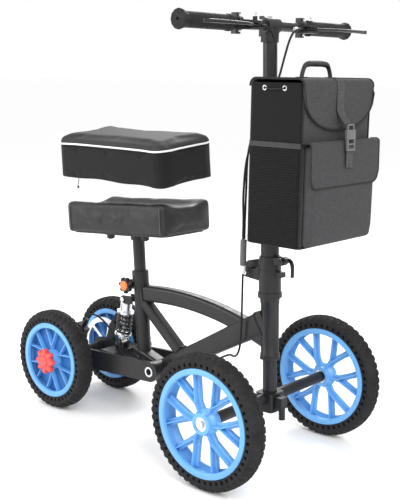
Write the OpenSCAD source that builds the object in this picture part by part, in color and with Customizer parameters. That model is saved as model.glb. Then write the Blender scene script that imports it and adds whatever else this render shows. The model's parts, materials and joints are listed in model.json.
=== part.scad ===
// Knee scooter: four wheels, steered front axle, folding column, sprung rear arm,
// height-adjustable knee pad with a lift-off cover, and a bag on the column.
// +X points forward, +Y to the rider's left, +Z up. The origin is on the ground,
// under the middle of the whole scooter.

/* [Wheels] */
// Outer diameter of a front tyre
front_wheel_d = 305; // [240:1:370]
// Outer diameter of a rear tyre
rear_wheel_d = 264; // [210:1:320]
// Height of a tyre's section, from rim to tread
tyre_section = 30; // [22:1:38]
// Width of a front tyre
front_tyre_w = 45; // [36:1:54]
// Width of a rear tyre
rear_tyre_w = 47; // [38:1:56]
// Distance between the centres of the two front tyres
front_track = 452; // [380:1:560]
// Distance between the centres of the two rear tyres
rear_track = 221; // [205:1:280]
// Distance from the front axle to the rear axle
wheelbase = 637; // [580:1:780]
// Diameter of the axles
axle_d = 12; // [10:0.5:15]
// Outer diameter of a wheel hub
hub_d = 49; // [42:1:60]

/* [Frame] */
// Backward lean of the steering column, in degrees
column_rake = 2.1; // [0:0.1:5]
// Backward lean of the seat post, in degrees
post_rake = 4.5; // [0:0.1:7]
// Outer diameter of the head tube
head_tube_d = 42; // [40:0.5:52]
// Length of the head tube
head_tube_len = 137; // [110:1:165]
// Depth of the down tube
down_tube_h = 50; // [40:1:60]
// Width of the down tube
down_tube_w = 40; // [32:1:44]
// Depth of the arched top tube
top_tube_h = 42; // [32:1:50]
// Width of the arched top tube
top_tube_w = 34; // [26:1:40]
// Rise of the arched top tube over a straight one
top_tube_bow = 27; // [20:1:40]
// Outer diameter of the seat tube
seat_tube_d = 37; // [36:0.5:44]
// Diameter of the hollow pivot of the rear arm
pivot_d = 26; // [22:0.5:31]

/* [Rear arm] */
// Distance from the pivot to the rear axle
arm_len = 301; // [280:1:360]
// Depth of each side plate of the rear arm
arm_h = 52; // [43:1:60]
// Thickness of each side plate
arm_t = 8; // [6:0.5:10]
// Distance between the outer faces of the side plates
arm_w = 120; // [114:1:144]
// Outer diameter of a brake disc
disc_d = 160; // [135:1:185]

/* [Column] */
// Diameter of the steering tube
steerer_d = 33; // [30:0.5:34]
// Outer diameter of the lower column tube
column_d = 42; // [38:0.5:46]
// Diameter of the sliding upper stem
stem_d = 32; // [28:0.5:34]
// Height of the handlebar above the front axle
bar_height = 846; // [820:1:900]
// Diameter of the handlebar
bar_d = 22.2; // [20:0.2:26]
// Length of the handlebar
bar_len = 594; // [540:1:700]
// Diameter of a hand grip
grip_d = 36; // [30:1:42]
// Length of a hand grip
grip_len = 160; // [130:1:180]

/* [Seat] */
// Diameter of the seat post
post_d = 31; // [28:0.5:33]
// Length of the knee pad
seat_len = 356; // [280:1:430]
// Width of the knee pad
seat_w = 176; // [146:1:236]
// Height of the knee pad
seat_h = 82; // [68:1:99]
// Height of the pad's underside above the pivot, along the post
seat_rise = 341; // [320:1:360]
// Wall of the lift-off cover
cover_wall = 4; // [3:0.5:6]
// Height that the cover is lifted above its seated place
cover_lift = 128; // [100:1:150]

/* [Bag] */
// Width of the bag
bag_w = 252; // [210:1:303]
// Depth of the bag's main part
bag_depth = 135; // [112:1:162]
// Height of the bag's main part
bag_h = 345; // [290:1:350]
// Depth of the front pocket
pocket_depth = 24; // [16:1:32]
// Wall of the bag
bag_wall = 4; // [3:0.5:6]

/* [Fits] */
// Radial clearance of shafts in their bores
fit = 0.05; // [0.03:0.01:0.08]
// Gap between faces that move past each other
gap = 0.5; // [0.4:0.1:0.8]

/* [Hidden] */
$fn = 96;

frame_black = [0.12, 0.12, 0.13];
soft_black = [0.09, 0.09, 0.1];
bag_grey = [0.3, 0.3, 0.31];
rim_blue = [0.16, 0.47, 0.82];
steel = [0.72, 0.73, 0.75];

// Wheels and overall places
front_r = front_wheel_d / 2;
rear_r = rear_wheel_d / 2;
front_rim_r = front_r - tyre_section;
rear_rim_r = rear_r - tyre_section - 1.5;
hub_w = 38;
rear_hub_w = 50;
bearing_d = 32;
bearing_w = 9;
tyre_round = 12;
flange_h = 11;
band_t = 4;
web_t = 7;
rib_t = 3.4;
fork_r = 0.4;
spoke_w = 17;
bolt_head_d = 18;
bolt_head_h = 4.5;

// Bag places, measured from the front axle
bag_back = 20;
flap_t = 4;
strap_t = 2.4;
buckle_t = 8;
bag_bottom_h = 385;
handle_place = 0.56;
bag_front = bag_back + bag_depth;
pocket_front = bag_front + pocket_depth;
front_reach = max(pocket_front + flap_t + buckle_t, front_r);
front_x = (wheelbase + rear_r - front_reach) / 2;
rear_x = front_x - wheelbase;

// Rear arm and frame places
pivot_x = rear_x + arm_len;
arm_rise = 18;
pivot_z = rear_r + arm_rise;
pivot_hole_d = pivot_d - 9;
arm_in = arm_w / 2 - arm_t;
caliper_clear = 7;
caliper_w = (rear_track - rear_tyre_w - arm_w) / 2 - caliper_clear;
barrel_d = 0.55 * caliper_w;
barrel_y = -0.15 * caliper_w;
disc_y = (arm_w + caliper_w) / 2;
lug_w = 2 * (arm_in - gap);
lug_d = pivot_d + 20;
post_x = pivot_x - 73.5;
seat_tube_len = 236;
collar_d = seat_tube_d + 6;
collar_h = 36;
collar_lip = 4;
wall_t = 3;
knob_d = 44;
knob_h = 14;
knob_back = collar_d / 2 + 5;
knob_in = collar_d / 2 + 2;
knob_drop = 33;
slit_h = 64;
seat_tube_low = 12;
post_low = 96;
post_plug = 8;

// Shock absorber, from its top bolt to its bottom bolt
shock_top = [pivot_x - 140, pivot_z + 157];
shock_low = [pivot_x - 158, pivot_z + 36];
shock_len = norm(shock_top - shock_low);
shock_lean = atan2(shock_top[0] - shock_low[0], shock_top[1] - shock_low[1]);
shock_bolt_d = 8;
shock_eye_d = 18;
shock_eye_w = 20;
shock_rod_d = 10;
shock_can_d = 30;
shock_tube_d = 20;
coil_d = 38;
wire_d = 5.6;
coil_turns = 5.5;
coil_top = 40;
coil_low = 97;
seat_disc_d = 44;
seat_disc_t = 5;

// Steering column: heights above the front axle, along the column
head_low = 97;
head_top = head_low + head_tube_len;
cup_h = 4;
cup_d = head_tube_d + 5;
ring_low = head_top + cup_h + gap;
ring_h = 12;
ring_d = head_tube_d + 14;
sleeve_d = head_tube_d + 10;
sleeve_top = ring_low + ring_h + 53;
steer_low = -16;
steer_top = sleeve_top - 14;
block_top = 14;
block_low = -30;
beam_d = 26;
beam_len = front_track - front_tyre_w + 2;
hinge_back = 60;
hinge_h = sleeve_top - 12;
hinge_eye_d = 20;
hinge_w = 32;
tongue_w = 12;
hinge_pin_d = 7;
foot_low = sleeve_top + gap;
foot_h = 30;
column_low = foot_low + 10;
column_top = 500;
stem_low = 372;
stem_clamp_h = 26;
stem_clamp_d = column_d + 10;
lever_x = 37;
lever_h = sleeve_top + 22;
lever_pin_d = 6;
bar_clamp_d = 40;
bar_clamp_w = 46;
bracket_y = 108;
bracket_w = 15;
perch_x = 36;
perch_y = 92;
blade_t = 7;
blade_rise = -4;
grip_in = bar_len / 2 + 3 - grip_len;

// Seat places along the post
plate_t = 6;
pan_t = 8;
pan_len = seat_len - 24;
pan_w = seat_w - 22;
pad_round = 14;
pad_edge = 4;
pad_top_step = 4;
dish_cut = 8;
dish_deep = dish_cut + pad_top_step;
dish_half = seat_w / 2 - pad_round - 4;
dish_r = (dish_half * dish_half + dish_cut * dish_cut) / (2 * dish_cut);
cover_gap = 2.5;
cover_len = seat_len + 2 * (cover_gap + cover_wall);
cover_w = seat_w + 2 * (cover_gap + cover_wall);
cover_h = seat_h + pan_t + 12;
cover_crown = 9;

// Cables: routes with round numbers, measured from the front axle in x
cable_d = 5;
splitter_x = -66;
splitter_y = -30;
splitter_low = 460;
splitter_top = 521;
splitter_d = 15;
right_route = [[5, -78, 994], [5, -62, 993], [7, -44, 980], [8, -31, 950], [4, -28, 900],
               [-10, -29, 850], [-34, -35, 790], [-56, -34, 720], [-64, -28, 640],
               [-66, -27, 570], [-66, -27, 522]];
left_route = [[5, 78, 994], [5, 60, 993], [8, 34, 984], [12, 12, 962], [12, -4, 925],
              [8, -14, 888], [-4, -26, 835], [-26, -40, 780], [-50, -45, 710],
              [-62, -40, 630], [-66, -33, 570], [-66, -33, 522]];
trunk_route = [[-66, -30, 418], [-66, -30, 340], [-67, -30, 290], [-71, -29, 262],
               [-80, -26, 244], [-98, -16, 233], [-125, -8, 228], [-200, -8, 185],
               [-270, -8, 145], [-318, -8, 120], [-345, -8, 114]];
branch_route = [[-345, 12, 114], [-380, 13, 114], [-410, 16, 120], [-436, 30, 138],
                [-449, 42, 165], [-462, 46, 198], [-485, 50, 228], [-508, 55, 250],
                [-530, 61, 262], [-546, 66, 262], [-554, 67, 253]];

// ---- shared shapes ----
module on_column() {
    translate([front_x, 0, front_r]) rotate([0, -column_rake, 0]) children();
}

module on_post() {
    translate([post_x, 0, pivot_z]) rotate([0, -post_rake, 0]) children();
}

module on_shock() {
    translate([shock_top[0], 0, shock_top[1]]) rotate([0, 180 + shock_lean, 0]) children();
}

// Cylinder along Y, centred on the middle plane
module across(d, len) {
    rotate([90, 0, 0]) cylinder(d = d, h = len, center = true);
}

// Cylinder along Y between two places
module across_from(d, y0, y1) {
    translate([0, y1, 0]) rotate([90, 0, 0]) cylinder(d = d, h = y1 - y0);
}

// Plate whose outline is drawn in x and z, from y0 to y0 + t
module side_plate(y0, t) {
    translate([0, y0 + t, 0]) rotate([90, 0, 0]) linear_extrude(t) children();
}

// Outline of a link with a round end at p and at q; its sides are a hair inside its ends
link_step = 0.1;
module link(p, q, r) {
    translate(p) circle(r);
    translate(q) circle(r);
    translate(p) rotate(atan2(q[1] - p[1], q[0] - p[0])) translate([0, -r + link_step])
        square([norm(q - p), 2 * (r - link_step)]);
}

module rounded(w, h, r) {
    square([w - 2 * r, h], center = true);
    square([w, h - 2 * r], center = true);
    for (x = [-1, 1], y = [-1, 1])
        translate([x * (w / 2 - r), y * (h / 2 - r)]) circle(r);
}

// Rounded box tube from p to q, both in x and z
module beam(p, q, w, h, r) {
    translate([p[0], 0, p[1]]) rotate([0, -atan2(q[1] - p[1], q[0] - p[0]), 0])
        rotate([90, 0, 90]) linear_extrude(norm(q - p)) rounded(w, h, r);
}

module box(size, at) {
    translate(at) cube(size, center = true);
}

// Round tube swept along a smooth curve through the given points
function mix(a, b, c, d, t) = 0.5 * (2 * b + (c - a) * t + (2 * a - 5 * b + 4 * c - d) * t * t
    + (3 * b - a - 3 * c + d) * t * t * t);
function smooth(p, n) = let (m = len(p) - 1)
    concat([for (i = [0 : m - 1], k = [0 : n - 1])
        mix(p[max(i - 1, 0)], p[i], p[i + 1], p[min(i + 2, m)], k / n)], [p[m]]);
function unit(v) = v / norm(v);
function ring_at(p, i, r, sides, up) = let (
    m = len(p) - 1,
    t = unit(p[min(i + 1, m)] - p[max(i - 1, 0)]),
    a = unit(up - (up * t) * t),
    b = cross(t, a))
    [for (k = [0 : sides - 1]) p[i] + r * (cos(360 * k / sides) * a + sin(360 * k / sides) * b)];

module swept(p, r, sides, up) {
    m = len(p) - 1;
    points = [for (i = [0 : m], q = ring_at(p, i, r, sides, up)) q];
    walls = [for (i = [0 : m - 1], k = [0 : sides - 1]) let (n = (k + 1) % sides)
        each [[i * sides + k, (i + 1) * sides + k, i * sides + n],
              [i * sides + n, (i + 1) * sides + k, (i + 1) * sides + n]]];
    ends = [[for (k = [0 : sides - 1]) k], [for (k = [sides - 1 : -1 : 0]) m * sides + k]];
    polyhedron(points, concat(walls, ends));
}

// Outline of a flat blade along a smooth curve, with r on either side of it
module ribbon(p, r) {
    m = len(p) - 1;
    side = [for (i = [0 : m]) let (t = unit(p[min(i + 1, m)] - p[max(i - 1, 0)])) r * [-t[1], t[0]]];
    polygon(concat([for (i = [0 : m]) p[i] + side[i]], [for (i = [m : -1 : 0]) p[i] - side[i]]));
}

function from_axle(route) = [for (p = route) [front_x + p[0], p[1], p[2]]];
function flip_y(route) = [for (p = route) [p[0], -p[1], p[2]]];

// ---- frame ----
strut_h = 28;
strut_w = 30;
top_rise = 180;
strut_rise = 170;
top_start = [post_x - tan(post_rake) * top_rise, pivot_z + top_rise];
top_end = [front_x - tan(column_rake) * 134, front_r + 134];
down_start = [front_x - tan(column_rake) * 182, front_r + 182];
down_end = [pivot_x, pivot_z - 4];
down_way = unit(down_end - down_start);
strut_top = [post_x - tan(post_rake) * strut_rise, pivot_z + strut_rise];
strut_foot = down_end - 83 * down_way;

module arch_band(p, q, bow, h) {
    chord = norm(q - p);
    r = chord * chord / (8 * bow) + bow / 2;
    way = (q - p) / chord;
    centre = (p + q) / 2 - (r - bow) * [-way[1], way[0]];
    reach = 1.5;
    intersection() {
        difference() {
            translate(centre) circle(r + h / 2, $fn = 180);
            translate(centre) circle(r - h / 2, $fn = 180);
        }
        polygon([centre, centre + reach * (p - centre),
                 (p + q) / 2 + reach * r * [-way[1], way[0]], centre + reach * (q - centre)]);
    }
}

module main_frame() color(frame_black) difference() {
    union() {
        on_column() translate([0, 0, head_low]) cylinder(d = head_tube_d, h = head_tube_len);
        beam(down_start, down_end, down_tube_w, down_tube_h, 9);
        side_plate(-top_tube_w / 2, top_tube_w) arch_band(top_start, top_end, top_tube_bow, top_tube_h);
        beam(strut_top, strut_foot, strut_w, strut_h, 7);
        on_post() translate([0, 0, seat_tube_low])
            cylinder(d = seat_tube_d, h = seat_tube_len - seat_tube_low);
        translate([pivot_x, 0, pivot_z]) across(lug_d, lug_w);
        beam([post_x - 24, pivot_z + 30], [pivot_x - 6, pivot_z + 2], down_tube_w - 2, 22, 6);
        for (side = [-1, 1])
            side_plate(side * (shock_eye_w / 2 + gap + 2.5) - 2.5, 5)
                link(shock_top, shock_top + [30, 2], 10);
    }
    on_column() translate([0, 0, head_low - 60]) cylinder(d = head_tube_d - 2 * wall_t, h = head_tube_len + 120);
    on_post() translate([0, 0, seat_tube_low + 10]) cylinder(d = post_d + 2 * fit, h = seat_tube_len + 50);
    translate([pivot_x, 0, pivot_z]) across(pivot_d, lug_w + 2);
    translate([shock_top[0], 0, shock_top[1]]) across(shock_bolt_d, 60);
}

module head_bearing() {
    rotate_extrude() {
        translate([steerer_d / 2 + fit, 0])
            square([head_tube_d / 2 - wall_t - steerer_d / 2 - fit, 14]);
        translate([steerer_d / 2 + fit, -cup_h]) square([(cup_d - steerer_d) / 2 - fit, cup_h]);
    }
}

module head_bearings() color([0.05, 0.05, 0.05]) on_column() {
    translate([0, 0, head_low]) head_bearing();
    translate([0, 0, head_top]) mirror([0, 0, 1]) head_bearing();
}

module swing_pivot() color(steel) translate([pivot_x, 0, pivot_z]) difference() {
    across(pivot_d, arm_w + 3);
    across(pivot_hole_d, arm_w + 10);
}

module seat_clamp() color(soft_black) on_post() difference() {
    union() {
        translate([0, 0, seat_tube_len - collar_h]) cylinder(d = collar_d, h = collar_h + collar_lip);
        box([knob_back + 7, 18, 24], [-(knob_back + 7) / 2, 0, seat_tube_len - knob_drop]);
        translate([-knob_back, 0, seat_tube_len - knob_drop]) across_from(14, gap - knob_in, -8);
    }
    translate([0, 0, seat_tube_low]) cylinder(d = seat_tube_d, h = seat_tube_len - seat_tube_low);
    cylinder(d = post_d + 2 * fit, h = seat_tube_len + 50);
    box([knob_back + 10, 3, slit_h], [-(knob_back + 10) / 2, 0, seat_tube_len - slit_h / 2 + 12]);
    translate([-knob_back, 0, seat_tube_len - knob_drop]) across(8 + 2 * fit, 60);
}

// Turned by hand on a bolt through the two ears of the clamp
module seat_knob() on_post() translate([-knob_back, 0, seat_tube_len - knob_drop]) {
    color("black") {
        across_from(8, -knob_in - 6, 14);
        side_plate(-knob_in - knob_h, knob_h) star(knob_d / 2, 7);
    }
    color([0.95, 0.42, 0.16]) across_from(knob_d * 0.5, -knob_in - knob_h - 1.5, -knob_in - knob_h);
}

// Outline of a star grip
module star(r, lobes) {
    circle(r * 0.78);
    for (k = [0 : lobes - 1]) rotate(360 * k / lobes) translate([r * 0.8, 0]) circle(r * 0.2);
}

module shock_top_bolt() color(steel) translate([shock_top[0], 0, shock_top[1]]) {
    reach = shock_eye_w / 2 + gap + 5;
    across_from(shock_bolt_d, -reach, reach);
    across_from(13, -reach - 4, -reach);
    across_from(13, reach, reach + 4);
}

module brake_cable_lower() color("black") {
    swept(smooth(from_axle(trunk_route), 4), cable_d / 2, 8, [0, 1, 0]);
    translate([front_x - 345, 0, 114]) box([14, 34, 9], [0, 0, 0]);
    swept(smooth(from_axle(branch_route), 3), cable_d / 2, 8, [0, 1, 0]);
    swept(smooth(from_axle(flip_y(branch_route)), 3), cable_d / 2, 8, [0, 1, 0]);
}

// ---- steering ----
module steering_tube() color(frame_black) on_column() difference() {
    translate([0, 0, steer_low]) cylinder(d = steerer_d, h = steer_top - steer_low);
    translate([0, 0, 40]) cylinder(d = steerer_d - 7, h = steer_top);
}

module axle_beam() color("black") on_column() difference() {
    union() {
        translate([0, 0, (block_top + block_low) / 2])
            linear_extrude(block_top - block_low, center = true) rounded(48, 52, 8);
        rotate([0, column_rake, 0]) across(beam_d, beam_len);
        box([26, 22, 26], [32, -4, -6]);
        translate([38, -4, -46]) cylinder(d = 15, h = 34);
    }
    translate([0, 0, steer_low]) cylinder(d = steerer_d, h = 80);
    for (side = [-1, 1])
        rotate([0, column_rake, 0]) translate([0, side * (beam_len / 2 - 24.9), 0]) across(axle_d, 50);
}

module front_axle_bolts() color(steel) for (side = [-1, 1]) translate([front_x, 0, front_r]) {
    inner = beam_len / 2 - 48;
    outer = front_track / 2 + hub_w / 2 + gap;
    if (side > 0) {
        across_from(axle_d, inner, outer);
        across_from(bolt_head_d, outer, outer + bolt_head_h);
    } else {
        across_from(axle_d, -outer, -inner);
        across_from(bolt_head_d, -outer - bolt_head_h, -outer);
    }
}

module fold_base() color(frame_black) on_column() difference() {
    union() {
        translate([0, 0, ring_low]) cylinder(d = ring_d, h = ring_h);
        translate([0, 0, ring_low + ring_h]) cylinder(d = sleeve_d, h = sleeve_top - ring_low - ring_h);
        side_plate(-hinge_w / 2, hinge_w) hull() {
            translate([-hinge_back, hinge_h]) circle(d = hinge_eye_d);
            translate([-sleeve_d / 2 + 6, hinge_h - 2]) square([4, 26], center = true);
        }
        box([16, 20, 12], [sleeve_d / 2 + 3, 0, sleeve_top - 10]);
    }
    translate([0, 0, ring_low - 1]) cylinder(d = steerer_d, h = sleeve_top);
    box([hinge_eye_d + 16, tongue_w + 2 * gap, hinge_eye_d + 20], [-hinge_back, 0, hinge_h]);
    translate([-hinge_back, 0, hinge_h]) across(hinge_pin_d, hinge_w + 10);
}

module fold_pin() color(steel) on_column() translate([-hinge_back, 0, hinge_h]) {
    across(hinge_pin_d, hinge_w + 2);
    for (side = [-1, 1]) translate([0, side * (hinge_w / 2 + 1.5), 0]) across(11, 3);
}

// ---- folding column ----
module column_foot() color(frame_black) on_column() difference() {
    union() {
        translate([0, 0, foot_low]) cylinder(d = sleeve_d, h = 9);
        translate([0, 0, foot_low + 9]) cylinder(d1 = sleeve_d, d2 = column_d + 7, h = foot_h - 9);
        side_plate(-tongue_w / 2, tongue_w) {
            translate([-hinge_back, hinge_h]) circle(d = hinge_eye_d);
            polygon([[-hinge_back - hinge_eye_d / 2, hinge_h], [-hinge_back, hinge_h],
                     [-hinge_back + hinge_eye_d / 2 + 3, foot_low], [-sleeve_d / 2 + 8, foot_low],
                     [-column_d / 2, foot_low + 22], [-hinge_back, foot_low + 14],
                     [-hinge_back - hinge_eye_d / 2, foot_low + 4]]);
        }
        for (side = [-1, 1])
            side_plate(side * 11 - 3, 6) link([sleeve_d / 2 - 8, lever_h], [lever_x, lever_h], 8);
    }
    translate([0, 0, column_low]) cylinder(d = column_d, h = foot_h + 20);
    translate([0, 0, foot_low - 1]) cylinder(d = stem_d + 1, h = foot_h);
    translate([-hinge_back, 0, hinge_h]) across(hinge_pin_d + 2 * fit, hinge_w);
    translate([lever_x, 0, lever_h]) across(lever_pin_d, 40);
}

module column_tube() color(frame_black) on_column() difference() {
    translate([0, 0, column_low]) cylinder(d = column_d, h = column_top - column_low);
    translate([0, 0, column_low - 1]) cylinder(d = stem_d + 2 * fit, h = column_top);
}

module stem_clamp() color("black") on_column() difference() {
    union() {
        translate([0, 0, column_top - stem_clamp_h + collar_lip]) cylinder(d = stem_clamp_d, h = stem_clamp_h);
        box([16, 22, stem_clamp_h - 6], [-stem_clamp_d / 2 - 3, 0, column_top - stem_clamp_h / 2 + collar_lip]);
    }
    translate([0, 0, column_top - stem_clamp_h]) cylinder(d = column_d, h = stem_clamp_h);
    translate([0, 0, column_top - stem_clamp_h]) cylinder(d = stem_d + 1, h = 2 * stem_clamp_h);
    box([30, 3, 2 * stem_clamp_h], [-stem_clamp_d / 2 - 4, 0, column_top]);
}

// Cam lever: its blade hangs down in front of the column and lifts forward to open
module fold_lever() color([0.08, 0.08, 0.08]) on_column() translate([lever_x, 0, lever_h]) {
    across(lever_pin_d - 2 * fit, 30);
    side_plate(-7.5, 15) {
        difference() {
            circle(d = 20);
            translate([-20, -9]) square([12, 18]);
        }
        polygon([[0, 10], [16, 8], [27, -6], [31, -26], [30, -36], [20, -38], [17, -24], [9, -12], [4, -9]]);
    }
}

module cable_splitter() {
    color(bag_grey) translate([front_x + splitter_x, splitter_y, splitter_low])
        cylinder(d = splitter_d, h = splitter_top - splitter_low);
    color("white") translate([front_x + splitter_x, splitter_y, splitter_low - 19])
        cylinder(d = splitter_d - 3, h = 19);
    color("black") translate([front_x + splitter_x, splitter_y, splitter_low - 40])
        cylinder(d = cable_d, h = 21);
}

// ---- bag ----
bag_low = front_r + bag_bottom_h;
bag_top = bag_low + bag_h;
bag_x0 = front_x + bag_back;
module bag_body() color(bag_grey) difference() {
    translate([bag_x0, -bag_w / 2, bag_low]) cube([bag_depth, bag_w, bag_h]);
    translate([bag_x0 + bag_wall, -bag_w / 2 + bag_wall, bag_low + bag_wall])
        cube([bag_depth - 2 * bag_wall, bag_w - 2 * bag_wall, bag_h]);
}

module bag_pocket() color(bag_grey) {
    pocket_w = bag_w - 10;
    pocket_top = bag_low + bag_h * 0.65;
    flap_low = bag_low + bag_h * 0.37;
    translate([front_x + bag_front, 0, 0]) {
        box([pocket_depth, pocket_w - 6, pocket_top - bag_low - 6],
            [pocket_depth / 2, 0, (pocket_top + bag_low) / 2]);
        box([flap_t, pocket_w, pocket_top - flap_low],
            [pocket_depth + flap_t / 2, 0, (pocket_top + flap_low) / 2]);
    }
}

// Flap over the top and down the front, on a sewn hinge along the top rear edge
module bag_flap() color(bag_grey) {
    lid_z = bag_top + gap;
    lid_w = bag_w + 8;
    drop = 107;
    translate([bag_x0 + 2, -lid_w / 2, lid_z]) cube([bag_depth + gap + flap_t - 2, lid_w, flap_t]);
    translate([bag_x0 + bag_depth + gap, 0, lid_z + flap_t / 2]) rotate([90, 0, 90])
        linear_extrude(flap_t) difference() {
            translate([-lid_w / 2, -drop]) square([lid_w, drop]);
            for (side = [-1, 1]) translate([side * lid_w / 2, 0]) difference() {
                translate([-side * 52 - 52, -drop - 1]) square([104, 76]);
                translate([-side * 104, -31]) circle(76);
            }
        }
}

module bag_handle() color("black") {
    z = bag_top + gap + flap_t;
    x = bag_x0 + bag_depth * handle_place;
    translate([x, 0, 0]) difference() {
        translate([-8, 0, z]) rotate([90, 0, 90]) linear_extrude(16) difference() {
            translate([0, 14]) rounded(112, 40, 12);
            translate([0, 11]) rounded(100, 34, 9);
        }
        box([30, 130, 20], [0, 0, z - 10]);
    }
}

module bag_strap() {
    lid_z = bag_top + gap + flap_t;
    face_x = bag_x0 + bag_depth + gap + flap_t;
    buckle_x = front_x + pocket_front + flap_t;
    color(bag_grey) {
        translate([face_x, -13, bag_low + bag_h * 0.74]) cube([strap_t, 26, bag_h * 0.26 + gap + flap_t]);
        translate([buckle_x + gap, -12, bag_low + bag_h * 0.48]) cube([strap_t, 24, 46]);
    }
    color("dimgray") side_plate(-16, 32)
        polygon([[face_x, bag_low + bag_h * 0.74], [face_x + buckle_t, bag_low + bag_h * 0.74],
                 [buckle_x + buckle_t, bag_low + bag_h * 0.67], [buckle_x + buckle_t, bag_low + bag_h * 0.58],
                 [buckle_x + gap, bag_low + bag_h * 0.58], [buckle_x + gap, bag_low + bag_h * 0.655],
                 [face_x, bag_low + bag_h * 0.70]]);
}

module bag_brackets() color("black") for (h = [405, 452]) difference() {
    union() {
        on_column() translate([0, 0, h]) cylinder(d = column_d + 7, h = 18);
        translate([front_x - 12, -26, front_r + h + 1]) cube([bag_back + 12, 52, 15]);
    }
    on_column() translate([0, 0, h - 10]) cylinder(d = column_d, h = 40);
}

// ---- stem and handlebar ----
module on_bar() {
    on_column() translate([0, 0, bar_height]) rotate([0, column_rake, 0]) children();
}

module stem_tube() color(frame_black) on_column() difference() {
    translate([0, 0, stem_low]) cylinder(d = stem_d, h = bar_height - bar_d / 2 - stem_low);
    translate([0, 0, stem_low - 1]) cylinder(d = stem_d - 5, h = bar_height - 40 - stem_low);
}

module handlebar_clamp() color("black") on_bar() difference() {
    union() {
        across(bar_clamp_d - 6, bar_clamp_w);
        translate([0, 0, -36]) cylinder(d = bar_clamp_d, h = 30);
        for (side = [-1, 1]) box([8, 8, 44], [-13, side * 14, -2]);
    }
    across(bar_d, bar_clamp_w + 10);
    rotate([0, -column_rake, 0]) translate([0, 0, -60]) cylinder(d = stem_d, h = 60 - bar_d / 2);
}

module handlebar() color(frame_black) on_bar() difference() {
    across(bar_d, bar_len);
    across(bar_d - 5, bar_len + 10);
}

module grips() color([0.1, 0.1, 0.1]) on_bar() for (side = [0, 1]) mirror([0, side, 0]) difference() {
    union() {
        across_from(grip_d - 3, grip_in, bar_len / 2 + 3);
        across_from(grip_d, grip_in, grip_in + 8);
        across_from(grip_d + 6, bar_len / 2 - 6, bar_len / 2 + 3);
    }
    across_from(bar_d, grip_in - 10, bar_len / 2);
    across_from(6, bar_len / 2 - 10, bar_len / 2 + 20);
}

perch_deep = perch_x - bar_d / 2 + 4;
perch_w = bracket_y - perch_y + 24;

module lever_brackets() color("black") on_bar() for (side = [0, 1]) mirror([0, side, 0]) difference() {
    union() {
        across_from(bar_d + 9, bracket_y, bracket_y + bracket_w);
        translate([-3, bracket_y + bracket_w / 2, 0]) cube([14, bracket_w, 44], center = true);
        translate([bar_d / 2 + 2, bracket_y + 1, -8]) cube([8, bracket_w - 2, 14]);
        translate([bar_d / 2 + 6, perch_y - 12, blade_rise - 9]) {
            cube([perch_deep, perch_w, 4.6]);
            translate([0, 0, 13.4]) cube([perch_deep, perch_w, 4.6]);
            cube([6, perch_w, 18]);
        }
        translate([perch_x, perch_y + 8, blade_rise + 9]) cylinder(d = 10, h = 9);
    }
    across(bar_d, bar_len);
    translate([perch_x, perch_y, blade_rise - 20]) cylinder(d = 5, h = 40);
}

// Blade on a pin through the bracket; it swings towards the grip
module brake_lever() {
    reach = bar_len / 2 - 12;
    blade = [[perch_x - 2, perch_y - 4], [perch_x + 4, perch_y + 20], [perch_x + 22, perch_y + 50],
             [perch_x + 32, perch_y + 80], [perch_x + 32, reach - 40], [perch_x + 26, reach]];
    translate([0, 0, blade_rise - blade_t / 2]) linear_extrude(blade_t) {
        ribbon(smooth(blade, 4), 5.5);
        translate([perch_x + 26, reach]) circle(7.5);
    }
    translate([perch_x, perch_y, blade_rise - 9]) cylinder(d = 5 - 2 * fit, h = 18);
}

module brake_lever_left() color([0.13, 0.13, 0.13]) on_bar() brake_lever();
module brake_lever_right() color([0.13, 0.13, 0.13]) on_bar() mirror([0, 1, 0]) brake_lever();

module lever_cables() color("black") {
    swept(smooth(from_axle(right_route), 3), cable_d / 2, 8, [1, 0, 0]);
    swept(smooth(from_axle(left_route), 3), cable_d / 2, 8, [1, 0, 0]);
}

// ---- seat ----
module seat_post() color(frame_black) on_post() difference() {
    translate([0, 0, post_low]) cylinder(d = post_d, h = seat_rise - plate_t - post_low);
    translate([0, 0, post_low - 1]) cylinder(d = post_d - 6, h = seat_rise - plate_t - post_low - post_plug);
}

module seat_bracket() color("black") on_post() difference() {
    union() {
        box([150, 96, plate_t], [0, 0, seat_rise - plate_t / 2]);
        translate([0, 0, seat_rise - plate_t - 14]) cylinder(d = post_d + 9, h = 14);
    }
    translate([0, 0, seat_rise - plate_t - 20]) cylinder(d = post_d, h = 20);
}

module seat_bolts() color([0.06, 0.06, 0.06]) on_post()
    for (x = [-62, 62], y = [-38, 38]) translate([x, y, seat_rise - plate_t - 9]) {
        cylinder(d = 20, h = 9);
        translate([0, 0, -2]) cylinder(d = 12, h = 2);
    }

module seat_pan() color("black") on_post()
    translate([0, 0, seat_rise]) linear_extrude(pan_t) rounded(pan_len, pan_w, 20);

// Knee pad with a shallow trough along its length
module seat_pad() color(soft_black) on_post() difference() {
    translate([0, 0, seat_rise + pad_edge]) linear_extrude(seat_h - pad_top_step - pad_edge)
        rounded(seat_len, seat_w, pad_round);
    translate([0, 0, seat_rise - 1]) linear_extrude(pan_t + 1) rounded(pan_len + 1, pan_w + 1, 20);
    translate([0, 0, seat_rise + seat_h + dish_r - dish_deep]) rotate([0, 90, 0])
        cylinder(r = dish_r, h = seat_len + 10, center = true, $fn = 180);
}

// Loose fitted cover, open underneath, held above the pad it fits over
module pad_cover() color(soft_black) on_post() translate([0, 0, seat_rise + cover_lift]) difference() {
    union() {
        linear_extrude(cover_h) rounded(cover_len, cover_w, pad_round + cover_gap + cover_wall);
        translate([0, 0, cover_h]) linear_extrude(cover_crown)
            rounded(cover_len - 50, cover_w - 50, pad_round);
    }
    translate([0, 0, -1]) linear_extrude(cover_h - 6)
        rounded(cover_len - 2 * cover_wall, cover_w - 2 * cover_wall, pad_round + cover_gap);
}

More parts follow.
